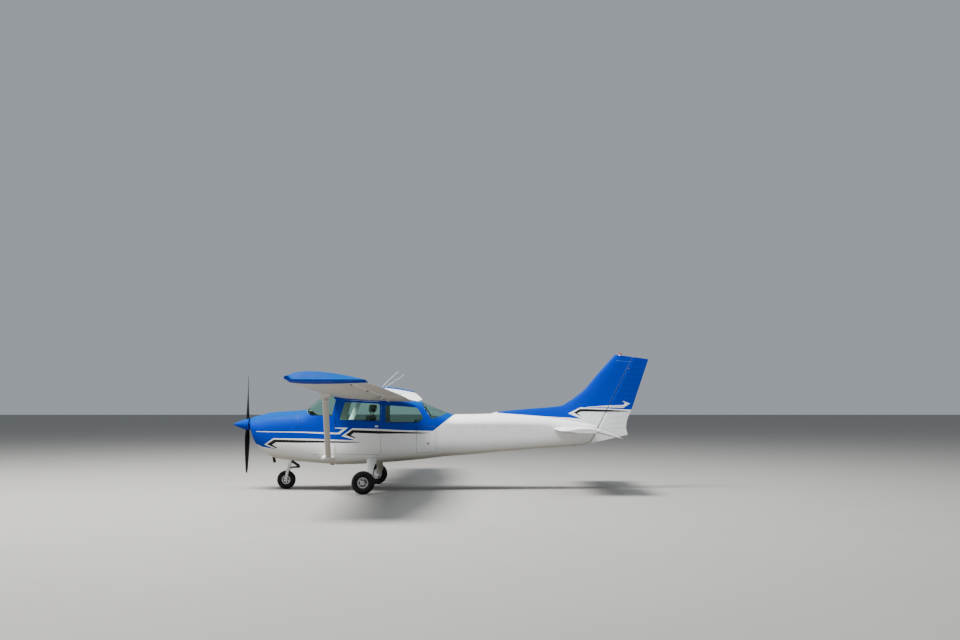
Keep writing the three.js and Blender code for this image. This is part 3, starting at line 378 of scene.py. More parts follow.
def shade(piece, smooth=38):
    """Smooth shading, with sharp edges from an angle in degrees."""
    grid = bmesh.new()
    grid.from_mesh(piece.data)
    limit = math.radians(smooth)
    for face in grid.faces:
        face.smooth = True
    for edge in grid.edges:
        edge.smooth = len(edge.link_faces) == 2 and edge.calc_face_angle() < limit
    grid.to_mesh(piece.data)
    grid.free()
    return piece


def polish(piece, smooth=38):
    """Sharp edges by angle, and normals that follow the large faces."""
    shade(piece, smooth)
    modifier = piece.modifiers.new("normals", "WEIGHTED_NORMAL")
    modifier.keep_sharp = True
    return settle(piece)


def place(piece, body, nodes=()):
    """Rides the piece on its body and lets it stand for its nodes."""
    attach(piece, body)
    if nodes:
        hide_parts(*nodes)
    return piece


def coat(piece, finish, body, nodes=(), smooth=38):
    """Finishes a piece all over and sets it on its body."""
    return place(polish(finish_with(piece, finish), smooth), body, nodes)


def mount(name, parts, body, nodes=(), finish=None):
    """Gathers parts into one piece on a body. They keep their finishes, or take the one given."""
    group = gather(name, parts)
    if finish:
        finish_with(group, finish)
    return place(shade(group), body, nodes)


def coordinates(mesh):
    places = np.empty(len(mesh.vertices) * 3)
    mesh.vertices.foreach_get("co", places)
    return places.reshape(-1, 3)


BEVEL_ANGLE = math.radians(30)


def bevel(piece, width, segments=3):
    modifier = piece.modifiers.new("bevel", "BEVEL")
    modifier.width, modifier.segments = width * MM, segments
    modifier.limit_method, modifier.angle_limit = "ANGLE", BEVEL_ANGLE
    modifier.harden_normals = False
    return settle(piece)


def block(name, x0, x1, y0, y1, z0, z1):
    rings = [[(x, y0, z0), (x, y1, z0), (x, y1, z1), (x, y0, z1)] for x in (x0, x1)]
    return loft(name, rings)


def turned(name, start, end, profile, sides=48):
    """Body turned about the line from start to end. The profile has (distance along, radius) rows."""
    a, b = Vector(start), Vector(end)
    turn = Vector((1, 0, 0)).rotation_difference((b - a).normalized())
    rings = []
    for along, radius in profile:
        ring = []
        for k in range(sides):
            angle = 2 * math.pi * k / sides
            local = Vector((along, radius * math.cos(angle), radius * math.sin(angle)))
            ring.append(tuple(a + turn @ local))
        rings.append(ring)
    return loft(name, rings)


def rod(name, start, end, radius, sides=32):
    length = (Vector(end) - Vector(start)).length
    return turned(name, start, end, [(0, radius), (length, radius)], sides)


ROD_EDGE = 2.0


def round_rod(name, start, end, radius, sides=32):
    """Rod with a small round edge at both ends."""
    length = (Vector(end) - Vector(start)).length
    edge = min(ROD_EDGE, radius * 0.5, length * 0.25)
    rise = [(0, radius - edge), (edge * 0.3, radius - edge * 0.3), (edge, radius)]
    return turned(name, start, end, rise + [(length - along, size) for along, size in rise[::-1]], sides)


def rounded_outline(corners, inset=0.0, radius=0.0, steps=8):
    """Moves each edge of a closed outline inwards, then rounds its corners."""
    points = [Vector(c) for c in corners]
    count = len(points)
    area = sum(points[i].x * points[(i + 1) % count].y - points[(i + 1) % count].x * points[i].y
               for i in range(count))
    inward = 1 if area > 0 else -1

    def edge(i):
        start, way = points[i % count], (points[(i + 1) % count] - points[i % count]).normalized()
        return start + Vector((-way.y, way.x)) * inward * inset, way

    moved = []
    for i in range(count):
        (start, way), (after, ahead) = edge(i - 1), edge(i)
        gap = after - start
        share = (gap.x * ahead.y - gap.y * ahead.x) / (way.x * ahead.y - way.y * ahead.x)
        moved.append(start + way * share)
    if radius <= 0:
        return [tuple(p) for p in moved]
    outline = []
    for i, corner in enumerate(moved):
        ends = []
        for other in (moved[i - 1], moved[(i + 1) % count]):
            way = other - corner
            ends.append(corner + way.normalized() * min(radius, way.length * 0.45))
        for k in range(steps + 1):
            t = k / steps
            outline.append(tuple(ends[0] * (1 - t) ** 2 + corner * 2 * t * (1 - t) + ends[1] * t * t))
    return outline


def side_prism(name, corners, y0, y1, inset=0.0, radius=0.0, steps=8):
    outline = rounded_outline(corners, inset, radius, steps)
    return loft(name, [[(x, y, z) for x, z in outline] for y in (y0, y1)])


def plan_prism(name, corners, z0, z1):
    return loft(name, [[(x, y, z) for x, y in corners] for z in (z0, z1)])


def side_range(side, inner, outer):
    return (-outer, -inner) if side < 0 else (inner, outer)


# Fuselage skin

class Curve:
    """Smooth curve through knots that never overshoots them, with a kink kept at each corner."""

    def __init__(self, xs, ys, corners=()):
        self.xs, self.ys = np.array(xs, float), np.array(ys, float)
        secant = np.diff(self.ys) / np.diff(self.xs)
        before, after = np.append(secant[0], secant), np.append(secant, secant[-1])
        product = before * after
        total = np.where(before + after == 0, 1, before + after)
        mean = np.where(product > 0, 2 * product / total, 0)
        kink = np.isin(self.xs, corners)
        kink[0] = kink[-1] = True
        self.enter = np.where(kink, before, mean)
        self.leave = np.where(kink, after, mean)

    def __call__(self, x):
        x = np.clip(x, self.xs[0], self.xs[-1])
        i = np.clip(np.searchsorted(self.xs, x, side="right") - 1, 0, len(self.xs) - 2)
        step = self.xs[i + 1] - self.xs[i]
        t = (x - self.xs[i]) / step
        rise = (2 * t**3 - 3 * t**2 + 1) * self.ys[i] + (3 * t**2 - 2 * t**3) * self.ys[i + 1]
        lean = (t**3 - 2 * t**2 + t) * self.leave[i] + (t**3 - t**2) * self.enter[i + 1]
        return rise + lean * step


def curves_of(rows, corners=()):
    """A curve for each further column of a table, over its first column."""
    keys, *columns = zip(*rows)
    return [Curve(keys, column, corners) for column in columns]


FIREWALL_X, FIREWALL_THICK, CABIN_END_X = -2860, 12, 210
WALL, PANE, SEAT_GAP, MOVE_GAP = 45, 6, 0.3, 6
FLOOR_Z, COWL_SPLIT_Z, COWL_WALL = 640, 1150, 24
PAST_SIDE, DOOR_REACH = 700, 250

# x at the top, lean (aft shift per mm below the top), bottom, belt and top heights, half width at
# the belt, taper of the half width from belt to top, powers of the lower and upper curve
HULL = [
    (-3748, 0.27, 905, 1150, 1362, 300, 0, 2.6, 2.4),
    (-3735, 0.26, 866, 1145, 1382, 352, 0, 2.6, 2.4),
    (-3690, 0.25, 800, 1140, 1408, 405, 0, 2.7, 2.4),
    (-3572, 0.2, 699, 1140, 1437, 445, 0, 2.9, 2.4),
    (-3342, 0.1, 612, 1150, 1493, 475, 0, 3.1, 2.5),
    (-2969, 0, 566, 1170, 1521, 498, 0, 3.3, 2.6),
    (-2860, 0, 552, 1180, 1526, 505, 0, 3.4, 2.6),
    (-2634, 0, 534, 1200, 1551, 522, 0, 3.8, 2.6),
    (-2500, 0, 524, 1215, 1672, 529, 0.04, 4.2, 2.8),
    (-2356, 0, 513, 1230, 1785, 533, 0.07, 4.5, 3.2),
    (-2220, 0, 504, 1240, 1868, 535, 0.09, 4.8, 4),
    (-2120, 0, 498, 1250, 1925, 536, 0.1, 5, 5.5),
    (-1987, 0, 494, 1250, 1950, 537, 0.11, 5, 8),
    (-1825, 0, 490, 1250, 1958, 537, 0.12, 5, 9),
    (-1500, 0, 500, 1250, 1932, 536, 0.12, 5, 9),
    (-850, 0, 546, 1250, 1800, 524, 0.11, 5, 9),
    (-525, 0, 574, 1250, 1722, 511, 0.1, 5, 8),
    (-369, 0, 589, 1252, 1690, 500, 0.1, 5, 6),
    (-173, 0, 612, 1254, 1616, 483, 0.09, 4.8, 3.8),
    (70, 0, 639, 1256, 1513, 458, 0.05, 4.6, 2.6),
    (210, 0, 651, 1258, 1456, 441, 0, 4.5, 2.1),
    (566, 0, 677, 1258, 1458, 396, 0, 4.5, 2),
    (1121, 0, 727, 1254, 1470, 328, 0, 4.5, 2),
    (1929, 0, 792, 1240, 1425, 228, 0, 4.3, 2),
    (2335, 0, 820, 1215, 1372, 178, 0, 4, 2),
    (2726, -0.1, 848, 1190, 1312, 130, 0, 3.6, 2),
    (2950, -0.3, 868, 1172, 1276, 95, 0, 3.2, 2),
    (3090, -0.5, 905, 1160, 1252, 70, 0, 3, 2),
]
HULL_X = [row[0] for row in HULL]
HULL_CORNERS = (-2634, 210)
HULL_CURVES = curves_of(HULL, HULL_CORNERS)
HULL_SIDES, STATION_STEP = 96, 42
# steps that find the station of a leaning section, and half the span of a slope in mm
LEAN_STEPS, PROBE, TINY = 5, 0.4, 1e-9


def hull_rows(x):
    return [curve(x) for curve in HULL_CURVES]


def hull_ring(x, grow=0.0):
    lean, bottom, belt, top, half, taper, low, high = hull_rows(x)
    ring = []
    for i in range(HULL_SIDES):
        angle = 2 * math.pi * i / HULL_SIDES
        c, s = math.cos(angle), math.sin(angle)
        power = 2 / (high if s >= 0 else low)
        reach = (top - belt if s >= 0 else belt - bottom) + grow
        z = belt + math.copysign(reach * abs(s) ** power, s)
        narrow = 1 - taper * max(0, z - belt) / (top - belt)
        y = (half + grow) * narrow * math.copysign(abs(c) ** power, c)
        ring.append((x + lean * (top - z), y, z))
    return ring


def stations_between(ends, step):
    """Stations no further than step apart, with the given ones among them."""
    places = []
    for a, b in zip(ends, ends[1:]):
        count = max(1, math.ceil((b - a) / step))
        places += [a + (b - a) * k / count for k in range(count)]
    return places + [ends[-1]]


def hull_stations(x0, x1):
    knots = [x0] + [x for x in HULL_X if x0 + 1 < x < x1 - 1] + [x1]
    return stations_between(knots, STATION_STEP)


def hull(name, x0, x1, grow=0.0):
    return loft(name, [hull_ring(x, grow) for x in hull_stations(x0, x1)])


def hull_value(points):
    """1 on the skin, less inside, for an array of points in mm."""
    x, y, z = points[:, 0], points[:, 1], points[:, 2]
    at = x.copy()
    for _ in range(LEAN_STEPS):
        lean, bottom, belt, top, half, taper, low, high = hull_rows(at)
        at = x - lean * (top - z)
    upper = z >= belt
    reach = np.where(upper, top - belt, belt - bottom)
    power = np.where(upper, high, low)
    narrow = 1 - taper * np.maximum(0, z - belt) / (top - belt)
    return (np.abs(y) / (half * narrow)) ** power + (np.abs(z - belt) / reach) ** power


def hull_gradient(points):
    sides = []
    for axis in range(3):
        shift = np.zeros(3)
        shift[axis] = PROBE
        sides.append((hull_value(points + shift) - hull_value(points - shift)) / (2 * PROBE))
    return np.stack(sides, axis=1)


def hull_distance(points):
    """Distance out of the skin in mm, good near the skin."""
    slope = np.linalg.norm(hull_gradient(points), axis=1)
    return (hull_value(points) - 1) / np.maximum(slope, TINY)


def hull_slope(points):
    """Unit directions out of the skin."""
    slope = hull_gradient(points)
    return slope / np.maximum(np.linalg.norm(slope, axis=1), TINY)[:, None]


# Paint: closed outlines in side view, x and z. A later outline lies over an earlier one.

BLUE_BODY = [(-3528, 873), (-3449, 839), (-3203, 795), (-3149, 779), (-3397, 878), (-3210, 1002),
             (-2504, 993), (-1640, 962), (-1688, 984), (-1895, 1042), (-1690, 1194), (-1235, 1183),
             (-795, 1159), (-144, 1139), (-39, 1225), (132, 1359), (233, 1434), (330, 1500),
             (330, 2400), (-4300, 2400), (-4300, 873)]
NOSE_BLACK = [(-3345, 884), (-3200, 978), (-2720, 966), (-2265, 956), (-1755, 940), (-1543, 930),
              (-1543, 922), (-1755, 914), (-2265, 917), (-2720, 915), (-3160, 922), (-3235, 880),
              (-3140, 818), (-3150, 802)]
SIDE_BLACK = [(-1821, 1064), (-1689, 1160), (-217, 1107), (-201, 1100), (-354, 1090), (-794, 1092),
              (-1158, 1088), (-1664, 1106), (-1715, 1060), (-1625, 1012), (-1640, 1000)]
NOSE_LINE = [(-2030, 1204), (-1774, 1204), (-1932, 1078), (-2241, 1087), (-2621, 1106), (-3556, 1124),
             (-3556, 1134), (-2622, 1125), (-2242, 1115), (-1969, 1107), (-1868, 1176), (-2029, 1196)]
TAIL_BLUE = [(1103, 1484), (1725, 1437), (2237, 1401), (2497, 1391), (2765, 1366), (2498, 1474),
             (2737, 1594), (3752, 1548), (4300, 1530), (4300, 2900), (1000, 2900)]
TAIL_BLACK = [(2606, 1490), (2722, 1562), (2861, 1562), (3275, 1546), (3700, 1521), (3700, 1512),
              (3275, 1503), (2861, 1509), (2741, 1507), (2679, 1480), (2742, 1425), (2724, 1421)]
TAIL_LINE = [(2862, 1601), (3276, 1629), (3588, 1639), (3630, 1670), (3569, 1721), (3724, 1670),
             (3587, 1580), (3276, 1594), (2862, 1594)]
STRIPES = [("blue", BLUE_BODY), ("black", NOSE_BLACK), ("black", SIDE_BLACK), ("white", NOSE_LINE),
           ("blue", TAIL_BLUE), ("black", TAIL_BLACK), ("white", TAIL_LINE)]
SEAM = 5
# what a face is: painted skin, lining, cut edge, rounded front, back of a pane
SKIN, LINING, EDGE, ROUNDED, BACK = 1, 2, 3, 4, 5
# in metres: how far from an edge's box a face may begin, and how deep an edge has to cross it
SCORE_REACH, SCORE_DEPTH = 0.3, 1e-5


def seam(*points):
    """Narrow outline along a line of two points."""
    (x0, z0), (x1, z1) = points
    way = Vector((x1 - x0, z1 - z0)).normalized() * SEAM / 2
    return [(x0 - way.y, z0 + way.x), (x1 - way.y, z1 + way.x), (x1 + way.y, z1 - way.x),
            (x0 + way.y, z0 - way.x)]


def inside(outline, x, z):
    hit = False
    for (x0, z0), (x1, z1) in zip(outline, outline[1:] + outline[:1]):
        if (z0 > z) != (z1 > z) and x < (x1 - x0) * (z - z0) / (z1 - z0) + x0:
            hit = not hit
    return hit


def crosses(face, a, b, axes):
    """Whether the line from a to b runs through the face in this view."""
    (u0, v0), (u1, v1), (i, j) = a, b, axes
    length = math.hypot(u1 - u0, v1 - v0)
    du, dv = (u1 - u0) / length, (v1 - v0) / length
    sides = [(v.co[j] - v0) * du - (v.co[i] - u0) * dv for v in face.verts]
    along = [(v.co[i] - u0) * du + (v.co[j] - v0) * dv for v in face.verts]
    return min(sides) < -SCORE_DEPTH and max(sides) > SCORE_DEPTH and max(along) > 0 and min(along) < length


def near(face, a, b, axes):
    """Whether the face begins near the box of the line from a to b."""
    first = face.verts[0].co
    return all(min(u, v) - SCORE_REACH < first[axis] < max(u, v) + SCORE_REACH
               for u, v, axis in zip(a, b, axes))


def score(grid, mark, a, b, axes):
    """Cuts the painted faces that one edge of an outline crosses."""
    crossed = [face for face in grid.faces
               if face[mark] in (SKIN, ROUNDED) and near(face, a, b, axes) and crosses(face, a, b, axes)]
    if not crossed:
        return
    edges = {e for f in crossed for e in f.edges}
    verts = {v for f in crossed for v in f.verts}
    (u0, v0), (u1, v1), (i, j) = a, b, axes
    length = math.hypot(u1 - u0, v1 - v0)
    start, normal = [0, 0, 0], [0, 0, 0]
    start[i], start[j] = u0, v0
    normal[i], normal[j] = -(v1 - v0) / length, (u1 - u0) / length
    bmesh.ops.bisect_plane(grid, geom=crossed + list(edges) + list(verts), dist=1e-6, plane_co=start,
                           plane_no=normal)


def reaching(piece, stripes, axes):
    """The stripes whose boxes overlap the piece's box."""
    box = np.array(piece.bound_box)
    low, high = box.min(0)[list(axes)] / MM, box.max(0)[list(axes)] / MM
    found = []
    for name, outline in stripes:
        corners = np.array(outline, float)
        if (corners.max(0) > low).all() and (corners.min(0) < high).all():
            found.append((name, outline))
    return found


def paint(piece, stripes, is_skin, base="white", inner=(), axes=(0, 2)):
    """Paints the skin by outlines. is_skin says what each face is, and inner names the unpainted ones."""
    inner = dict(inner)
    names = list(dict.fromkeys([base] + [name for name, _ in stripes] + list(inner.values())))
    piece.data.materials.clear()
    for name in names:
        piece.data.materials.append(PAINT[name])
    grid = bmesh.new()
    grid.from_mesh(piece.data)
    grid.faces.ensure_lookup_table()
    mark = grid.faces.layers.int.new("skin")
    centres = np.array([f.calc_center_median() for f in grid.faces]) / MM
    facing = np.array([f.normal for f in grid.faces])
    for face, kind in zip(grid.faces, is_skin(centres, facing)):
        face[mark] = int(kind)
    used = reaching(piece, stripes, axes)
    for _, outline in used:
        for a, b in zip(outline, outline[1:] + outline[:1]):
            score(grid, mark, [v * MM for v in a], [v * MM for v in b], axes)
    for face in grid.faces:
        kind = face[mark]
        name = inner.get(kind, base)
        if kind in (SKIN, ROUNDED):
            centre = face.calc_center_median() / MM
            over = [other for other, outline in used if inside(outline, centre[axes[0]], centre[axes[1]])]
            name = over[-1] if over else base
        face.material_index = names.index(name)
        face.smooth = kind == SKIN
    grid.to_mesh(piece.data)
    grid.free()
    return piece


SKIN_NEAR, LINING_NEAR, SQUARE_ON = 6, 12, 0.8


def hull_skin(centres, facing, depth=WALL):
    gap = hull_distance(centres)
    square = np.abs((hull_slope(centres) * facing).sum(1))
    outer = (np.abs(gap) < SKIN_NEAR) & (square > SQUARE_ON)
    lining = gap < LINING_NEAR - depth
    return np.where(outer, SKIN, np.where(lining, LINING, EDGE))


def hull_normals(piece):
    """Gives the painted skin the exact normals of the hull, so that stripes leave no ripple."""
    mesh = piece.data
    mark = mesh.attributes["skin"].data
    corners = np.empty(len(mesh.loops), int)
    mesh.loops.foreach_get("vertex_index", corners)
    slope = hull_slope(coordinates(mesh) / MM)
    rounded = np.full((len(mesh.vertices), 3), TINY)
    for face in mesh.polygons:
        if mark[face.index].value == ROUNDED:
            rounded[list(face.vertices)] += np.array(face.normal) * face.area
    rounded /= np.linalg.norm(rounded, axis=1)[:, None]
    normals = np.zeros((len(mesh.loops), 3))
    for face in mesh.polygons:
        loops = slice(face.loop_start, face.loop_start + face.loop_total)
        kind = mark[face.index].value
        if kind in (SKIN, BACK):
            normals[loops] = slope[corners[loops]] * (1 if kind == SKIN else -1)
        else:
            normals[loops] = rounded[corners[loops]] if kind == ROUNDED else face.normal
    mesh.normals_split_custom_set(normals.tolist())
    return piece


INNER = {LINING: "lining", EDGE: "edge"}


def dress_hull(piece, body, node, stripes=STRIPES):
    hull_normals(paint(piece, stripes, hull_skin, inner=INNER))
    return place(piece, body, [node])


# Outlines in side view, x and z
WINDSHIELD = [(-2632, 1556), (-2540, 1462), (-2485, 1434), (-2086, 1426), (-2018, 1735), (-2110, 1840),
              (-2176, 2000), (-2632, 2000)]
DOOR = [(-2032, 700), (-1140, 690), (-1136, 1670), (-1180, 1704), (-1905, 1742), (-2032, 1440)]
DOOR_WINDOW = [(-1946, 1350), (-1846, 1700), (-1170, 1660), (-1166, 1328)]
SIDE_WINDOW = [(-1062, 1300), (-1066, 1636), (-450, 1590), (-322, 1392), (-420, 1300)]
REAR_WINDOW = [(-372, 1900), (-352, 1640), (-178, 1368), (-60, 1400), (112, 1476), (112, 1900)]
BAGGAGE_DOOR = [(-465, 720), (-85, 730), (-85, 1225), (-465, 1225)]

# corners in side view and how far they are rounded
OPENINGS = {"windshield": (WINDSHIELD, 18), "rear_window": (REAR_WINDOW, 24),
            "side_window": (SIDE_WINDOW, 50), "door": (DOOR, 60), "door_window": (DOOR_WINDOW, 45),
            "baggage_door": (BAGGAGE_DOOR, 40)}


def opening(kind, side, gap=0.0):
    """Cutter for an opening, with a gap all round it."""
    corners, radius = OPENINGS[kind]
    y0, y1 = side_range(side, DOOR_REACH, PAST_SIDE) if side else (-PAST_SIDE, PAST_SIDE)
    return side_prism("opening", corners, y0, y1, gap, radius - gap if gap > SEAT_GAP else radius)


def cavity():
    inner = hull("cavity", FIREWALL_X - 40, CABIN_END_X - 60, -WALL)
    room = block("room", FIREWALL_X - 100, CABIN_END_X, -PAST_SIDE, PAST_SIDE, FLOOR_Z, 2200)
    return keep_inside(inner, room)


def cabin_wall(name):
    return cut(hull(name, FIREWALL_X + FIREWALL_THICK + SEAT_GAP, CABIN_END_X), cavity())


def glazing(name):
    front = FIREWALL_X + FIREWALL_THICK
    return cut(hull(name, front, CABIN_END_X), hull("inside", FIREWALL_X, CABIN_END_X + 10, -PANE))


# Nose: cowling, engine, propeller

SHAFT_Z, PROP_X, PROP_RADIUS = 1259, -3826, 950
NOSE_X, SPINNER_BACK_X, SPINNER_RADIUS = -4100, -3786, 122
HUB_RADIUS, HUB_BACK_X = 60, -3772
STEER_X, STEER_Z, STEER_SLOPE = -3000, 400, math.tan(math.radians(13))
EXHAUST_TOP, EXHAUST_LOW, EXHAUST_RADIUS = (-3330, -150, 905), (-3244, -150, 520), 27
ENGINE_LOW_Z = 902
# share of the front ring's size, and how far ahead of it
NOSE_DOME = ((0.3, 15), (0.55, 13.5), (0.75, 10.5), (0.88, 6.5), (0.96, 2.5))
# x, half width, half height
INLET = ((-3830, 132, 80), (-3775, 120, 68), (-3752, 108, 56), (-3735, 104, 51), (-3600, 100, 47))
INLET_Y, INLET_Z, OVAL_SIDES = 205, 1236, 48
SCOOP, SCOOP_ROUND = [(-105, 960), (105, 960), (105, 1040), (-105, 1040)], 30
SHAFT_HOLE, STRUT_HOLE, COWL_JOINT = 72, 40, 3
# faces of the nose ahead of this x that look forward more than this are its rounded front
NOSE_FRONT_X, NOSE_FACING = -3640, -0.35


def steer_point(z):
    return (STEER_X + (z - STEER_Z) * STEER_SLOPE, 0, z)


def cowling_blank():
    first, rows = hull_ring(HULL_X[0]), hull_rows(HULL_X[0])
    centre = np.array((HULL_X[0] + rows[0] * (rows[3] - SHAFT_Z), 0, SHAFT_Z))
    dome = [[tuple(centre + share * (np.array(p) - centre) - (ahead, 0, 0)) for p in first]
            for share, ahead in NOSE_DOME]
    return loft("cowling", dome + [hull_ring(x) for x in hull_stations(HULL_X[0], FIREWALL_X - SEAT_GAP)])


def oval_ring(x, y, z, half_width, half_height):
    angles = [2 * math.pi * k / OVAL_SIDES for k in range(OVAL_SIDES)]
    return [(x, y + half_width * math.cos(a), z + half_height * math.sin(a)) for a in angles]


def cowling():
    mouth = rounded_outline(SCOOP, 0, SCOOP_ROUND)
    cuts = [hull("inner", HULL_X[1] + 12, FIREWALL_X + 40, -COWL_WALL)]
    cuts += [loft("inlet", [oval_ring(x, side * INLET_Y, INLET_Z, a, b) for x, a, b in INLET])
             for _, side in SIDES]
    cuts.append(rod("shaft_hole", (-3900, 0, SHAFT_Z), (-3600, 0, SHAFT_Z), SHAFT_HOLE, 48))
    cuts.append(loft("scoop", [[(x, y, z) for y, z in mouth] for x in (-3800, -3560)]))
    cuts.append(rod("strut_hole", steer_point(500), steer_point(700), STRUT_HOLE))
    cuts.append(rod("stack_hole", EXHAUST_TOP, EXHAUST_LOW, EXHAUST_RADIUS + MOVE_GAP))
    return cut(cowling_blank(), *cuts)


def cowl_skin(centres, facing):
    kinds = hull_skin(centres, facing, COWL_WALL)
    front = (kinds != SKIN) & (centres[:, 0] < NOSE_FRONT_X) & (facing[:, 0] < NOSE_FACING)
    return np.where(front, ROUNDED, kinds)


def add_cowling():
    gap = COWL_JOINT / 2
    halves = (("cowling_upper", COWL_SPLIT_Z + gap, 2000), ("cowling_lower", 0, COWL_SPLIT_Z - gap))
    for node, low, high in halves:
        half = keep_inside(cowling(), block("half", -4200, 0, -900, 900, low, high))
        half.name = "skin_" + node
        paint(half, STRIPES, cowl_skin, inner={LINING: "edge", EDGE: "edge"})
        place(hull_normals(half), "airframe", [node])


# radius, chord, thickness, pitch in degrees
BLADE = [(0, 70, 62, 50), (120, 82, 50, 44), (260, 128, 26, 33), (480, 148, 17, 22), (720, 128, 11, 16),
         (890, 94, 8, 13), (PROP_RADIUS, 48, 5, 12)]
BLADE_CURVES = curves_of(BLADE)
BLADE_SIDES, BLADE_STATIONS = 28, 46


def blade(up):
    rings = []
    for i in range(BLADE_STATIONS + 1):
        radius = PROP_RADIUS * math.sin(0.5 * math.pi * i / BLADE_STATIONS)
        chord, thick, pitch = (float(curve(radius)) for curve in BLADE_CURVES)
        turn = math.radians(90 - pitch)
        ring = []
        for k in range(BLADE_SIDES):
            angle = 2 * math.pi * k / BLADE_SIDES
            a = chord / 2 * math.cos(angle)
            b = thick / 2 * math.sin(angle) * (1 + 0.35 * math.cos(angle))
            ring.append((PROP_X + a * math.cos(turn) + b * math.sin(turn),
                         up * (-a * math.sin(turn) + b * math.cos(turn)), SHAFT_Z + up * radius))
        rings.append(ring)
    return loft("blade", rings)


# distance behind the tip and radius, both as shares
SPINNER = [(0, 0.001), (0.004, 0.03), (0.03, 0.085), (0.12, 0.21), (0.34, 0.475), (0.66, 0.782), (1, 1)]

HUB_FRONT_X, HUB_EDGE, SPINNER_WALL, BLADE_SLOT = PROP_X - 46, 4, 5, 46


def spinner():
    """Cone with a room for the hub and a slot for the blades, open at its back."""
    length, middle = SPINNER_BACK_X - NOSE_X, PROP_X + 2
    radius = Curve([math.sqrt(row[0]) for row in SPINNER], [row[1] for row in SPINNER])
    profile = [(length * t * t, SPINNER_RADIUS * float(radius(t))) for t in np.linspace(0.02, 1, 40)]
    cone = turned("spinner_cone", (NOSE_X, 0, SHAFT_Z), (SPINNER_BACK_X, 0, SHAFT_Z),
                  profile[:-1] + [(length - 8, profile[-1][1]), (length, profile[-1][1] - 2)], 72)
    room = rod("room", (SPINNER_BACK_X + SPINNER_WALL, 0, SHAFT_Z), (HUB_FRONT_X - SEAT_GAP, 0, SHAFT_Z),
               HUB_RADIUS + SEAT_GAP)
    low, high = SHAFT_Z - 200, SHAFT_Z + 200
    slot = round_rod("slot", (middle, 0, low), (middle, 0, high), BLADE_SLOT)
    back = block("back", middle, SPINNER_BACK_X + SPINNER_WALL, -BLADE_SLOT, BLADE_SLOT, low, high)
    return cut(cone, room, slot, back)


def add_propeller():
    depth = HUB_BACK_X - HUB_FRONT_X
    hub = turned("hub", (HUB_BACK_X, 0, SHAFT_Z), (HUB_FRONT_X, 0, SHAFT_Z),
                 [(0, HUB_RADIUS - HUB_EDGE), (HUB_EDGE, HUB_RADIUS), (depth - HUB_EDGE, HUB_RADIUS),
                  (depth, HUB_RADIUS - HUB_EDGE)])
    prop = coat(fuse(hub, blade(1), blade(-1)), BLADE_PAINT, "propeller", ["propeller"])
    prop.name = "propeller_blades"
    coat(spinner(), PAINT["blue"], "propeller", ["spinner"])


# Cabin

def add_cabin():
    body = cabin_wall("cabin_skin")
    cuts = [opening("windshield", 0), opening("rear_window", 0), opening("baggage_door", -1)]
    for _, side in SIDES:
        cuts += [opening("door", side), opening("side_window", side), wing_blank(side, SEAT_GAP)]
    dress_hull(cut(body, *cuts), "airframe", "cabin_shell", STRIPES + CABIN_SEAMS)
    for label, side in SIDES:
        door = keep_inside(cabin_wall("door_skin_" + label), opening("door", side, MOVE_GAP))
        cut(door, opening("door_window", side))
        dress_hull(door, "door_" + label, "door_" + label)
    hatch = keep_inside(cabin_wall("baggage_door_skin"), opening("baggage_door", -1, MOVE_GAP))
    dress_hull(hatch, "baggage_door", "baggage_door")


PANE_NEAR = 1.5


def pane_skin(centres, _):
    gap = hull_distance(centres)
    return np.where(np.abs(gap) < PANE_NEAR, SKIN, np.where(np.abs(gap + PANE) < PANE_NEAR, BACK, EDGE))


def add_pane(kind, body, side, suffix=""):
    node = kind + suffix
    pane = keep_inside(glazing("glass_" + node), opening(kind, side, SEAT_GAP))
    paint(pane, [], pane_skin, base="glass")
    place(hull_normals(pane), body, [node])


def add_panes():
    add_pane("windshield", "airframe", 0)
    add_pane("rear_window", "airframe", 0)
    for label, side in SIDES:
        add_pane("door_window", "door_" + label, side, "_" + label)
        add_pane("side_window", "airframe", side, "_" + label)


# Wing

SPAN, WING_ROOT_Y, WING_BREAK_Y, WING_END_Y = 11000, 470, 2540, 5235
ROOT_CHORD, TIP_CHORD, QUARTER_X, QUARTER_Z = 1630, 1130, -1743, 1824
DIHEDRAL, ROOT_PITCH, TIP_PITCH = math.radians(1.89), math.radians(5.9), math.radians(1.7)
FOIL_CAMBER, FOIL_CREST, FOIL_THICK = 0.02, 0.4, 0.12
# half thickness of a four-digit aerofoil: factors of the root and of each power
FOIL_ROOT, FOIL_POWERS = 0.2969, (-0.126, -0.3516, 0.2843, -0.1015)
DROOP, DROOP_END = 0.009, 0.15
FLAP = {"y0": 560, "y1": 2600, "nose": 0.735}
AILERON = {"y0": 2620, "y1": 5200, "nose": 0.79}
FOIL_STEPS, WING_STEP, ROUND_NOSE = 36, 170, 0.09


def wing_at(y):
    share = max(0, (y - WING_BREAK_Y) / (SPAN / 2 - WING_BREAK_Y))
    chord = ROOT_CHORD + (TIP_CHORD - ROOT_CHORD) * share
    pitch = ROOT_PITCH + (TIP_PITCH - ROOT_PITCH) * share
    return chord, pitch, QUARTER_Z + (y - WING_ROOT_Y) * math.tan(DIHEDRAL)


def wing_point(y, along, up):
    """x and z at half span y, from the place along the chord and the height, both over the chord."""
    chord, pitch, z = wing_at(y)
    dx, dz = (along - 0.25) * chord, up * chord
    return (QUARTER_X + dx * math.cos(pitch) + dz * math.sin(pitch),
            z - dx * math.sin(pitch) + dz * math.cos(pitch))


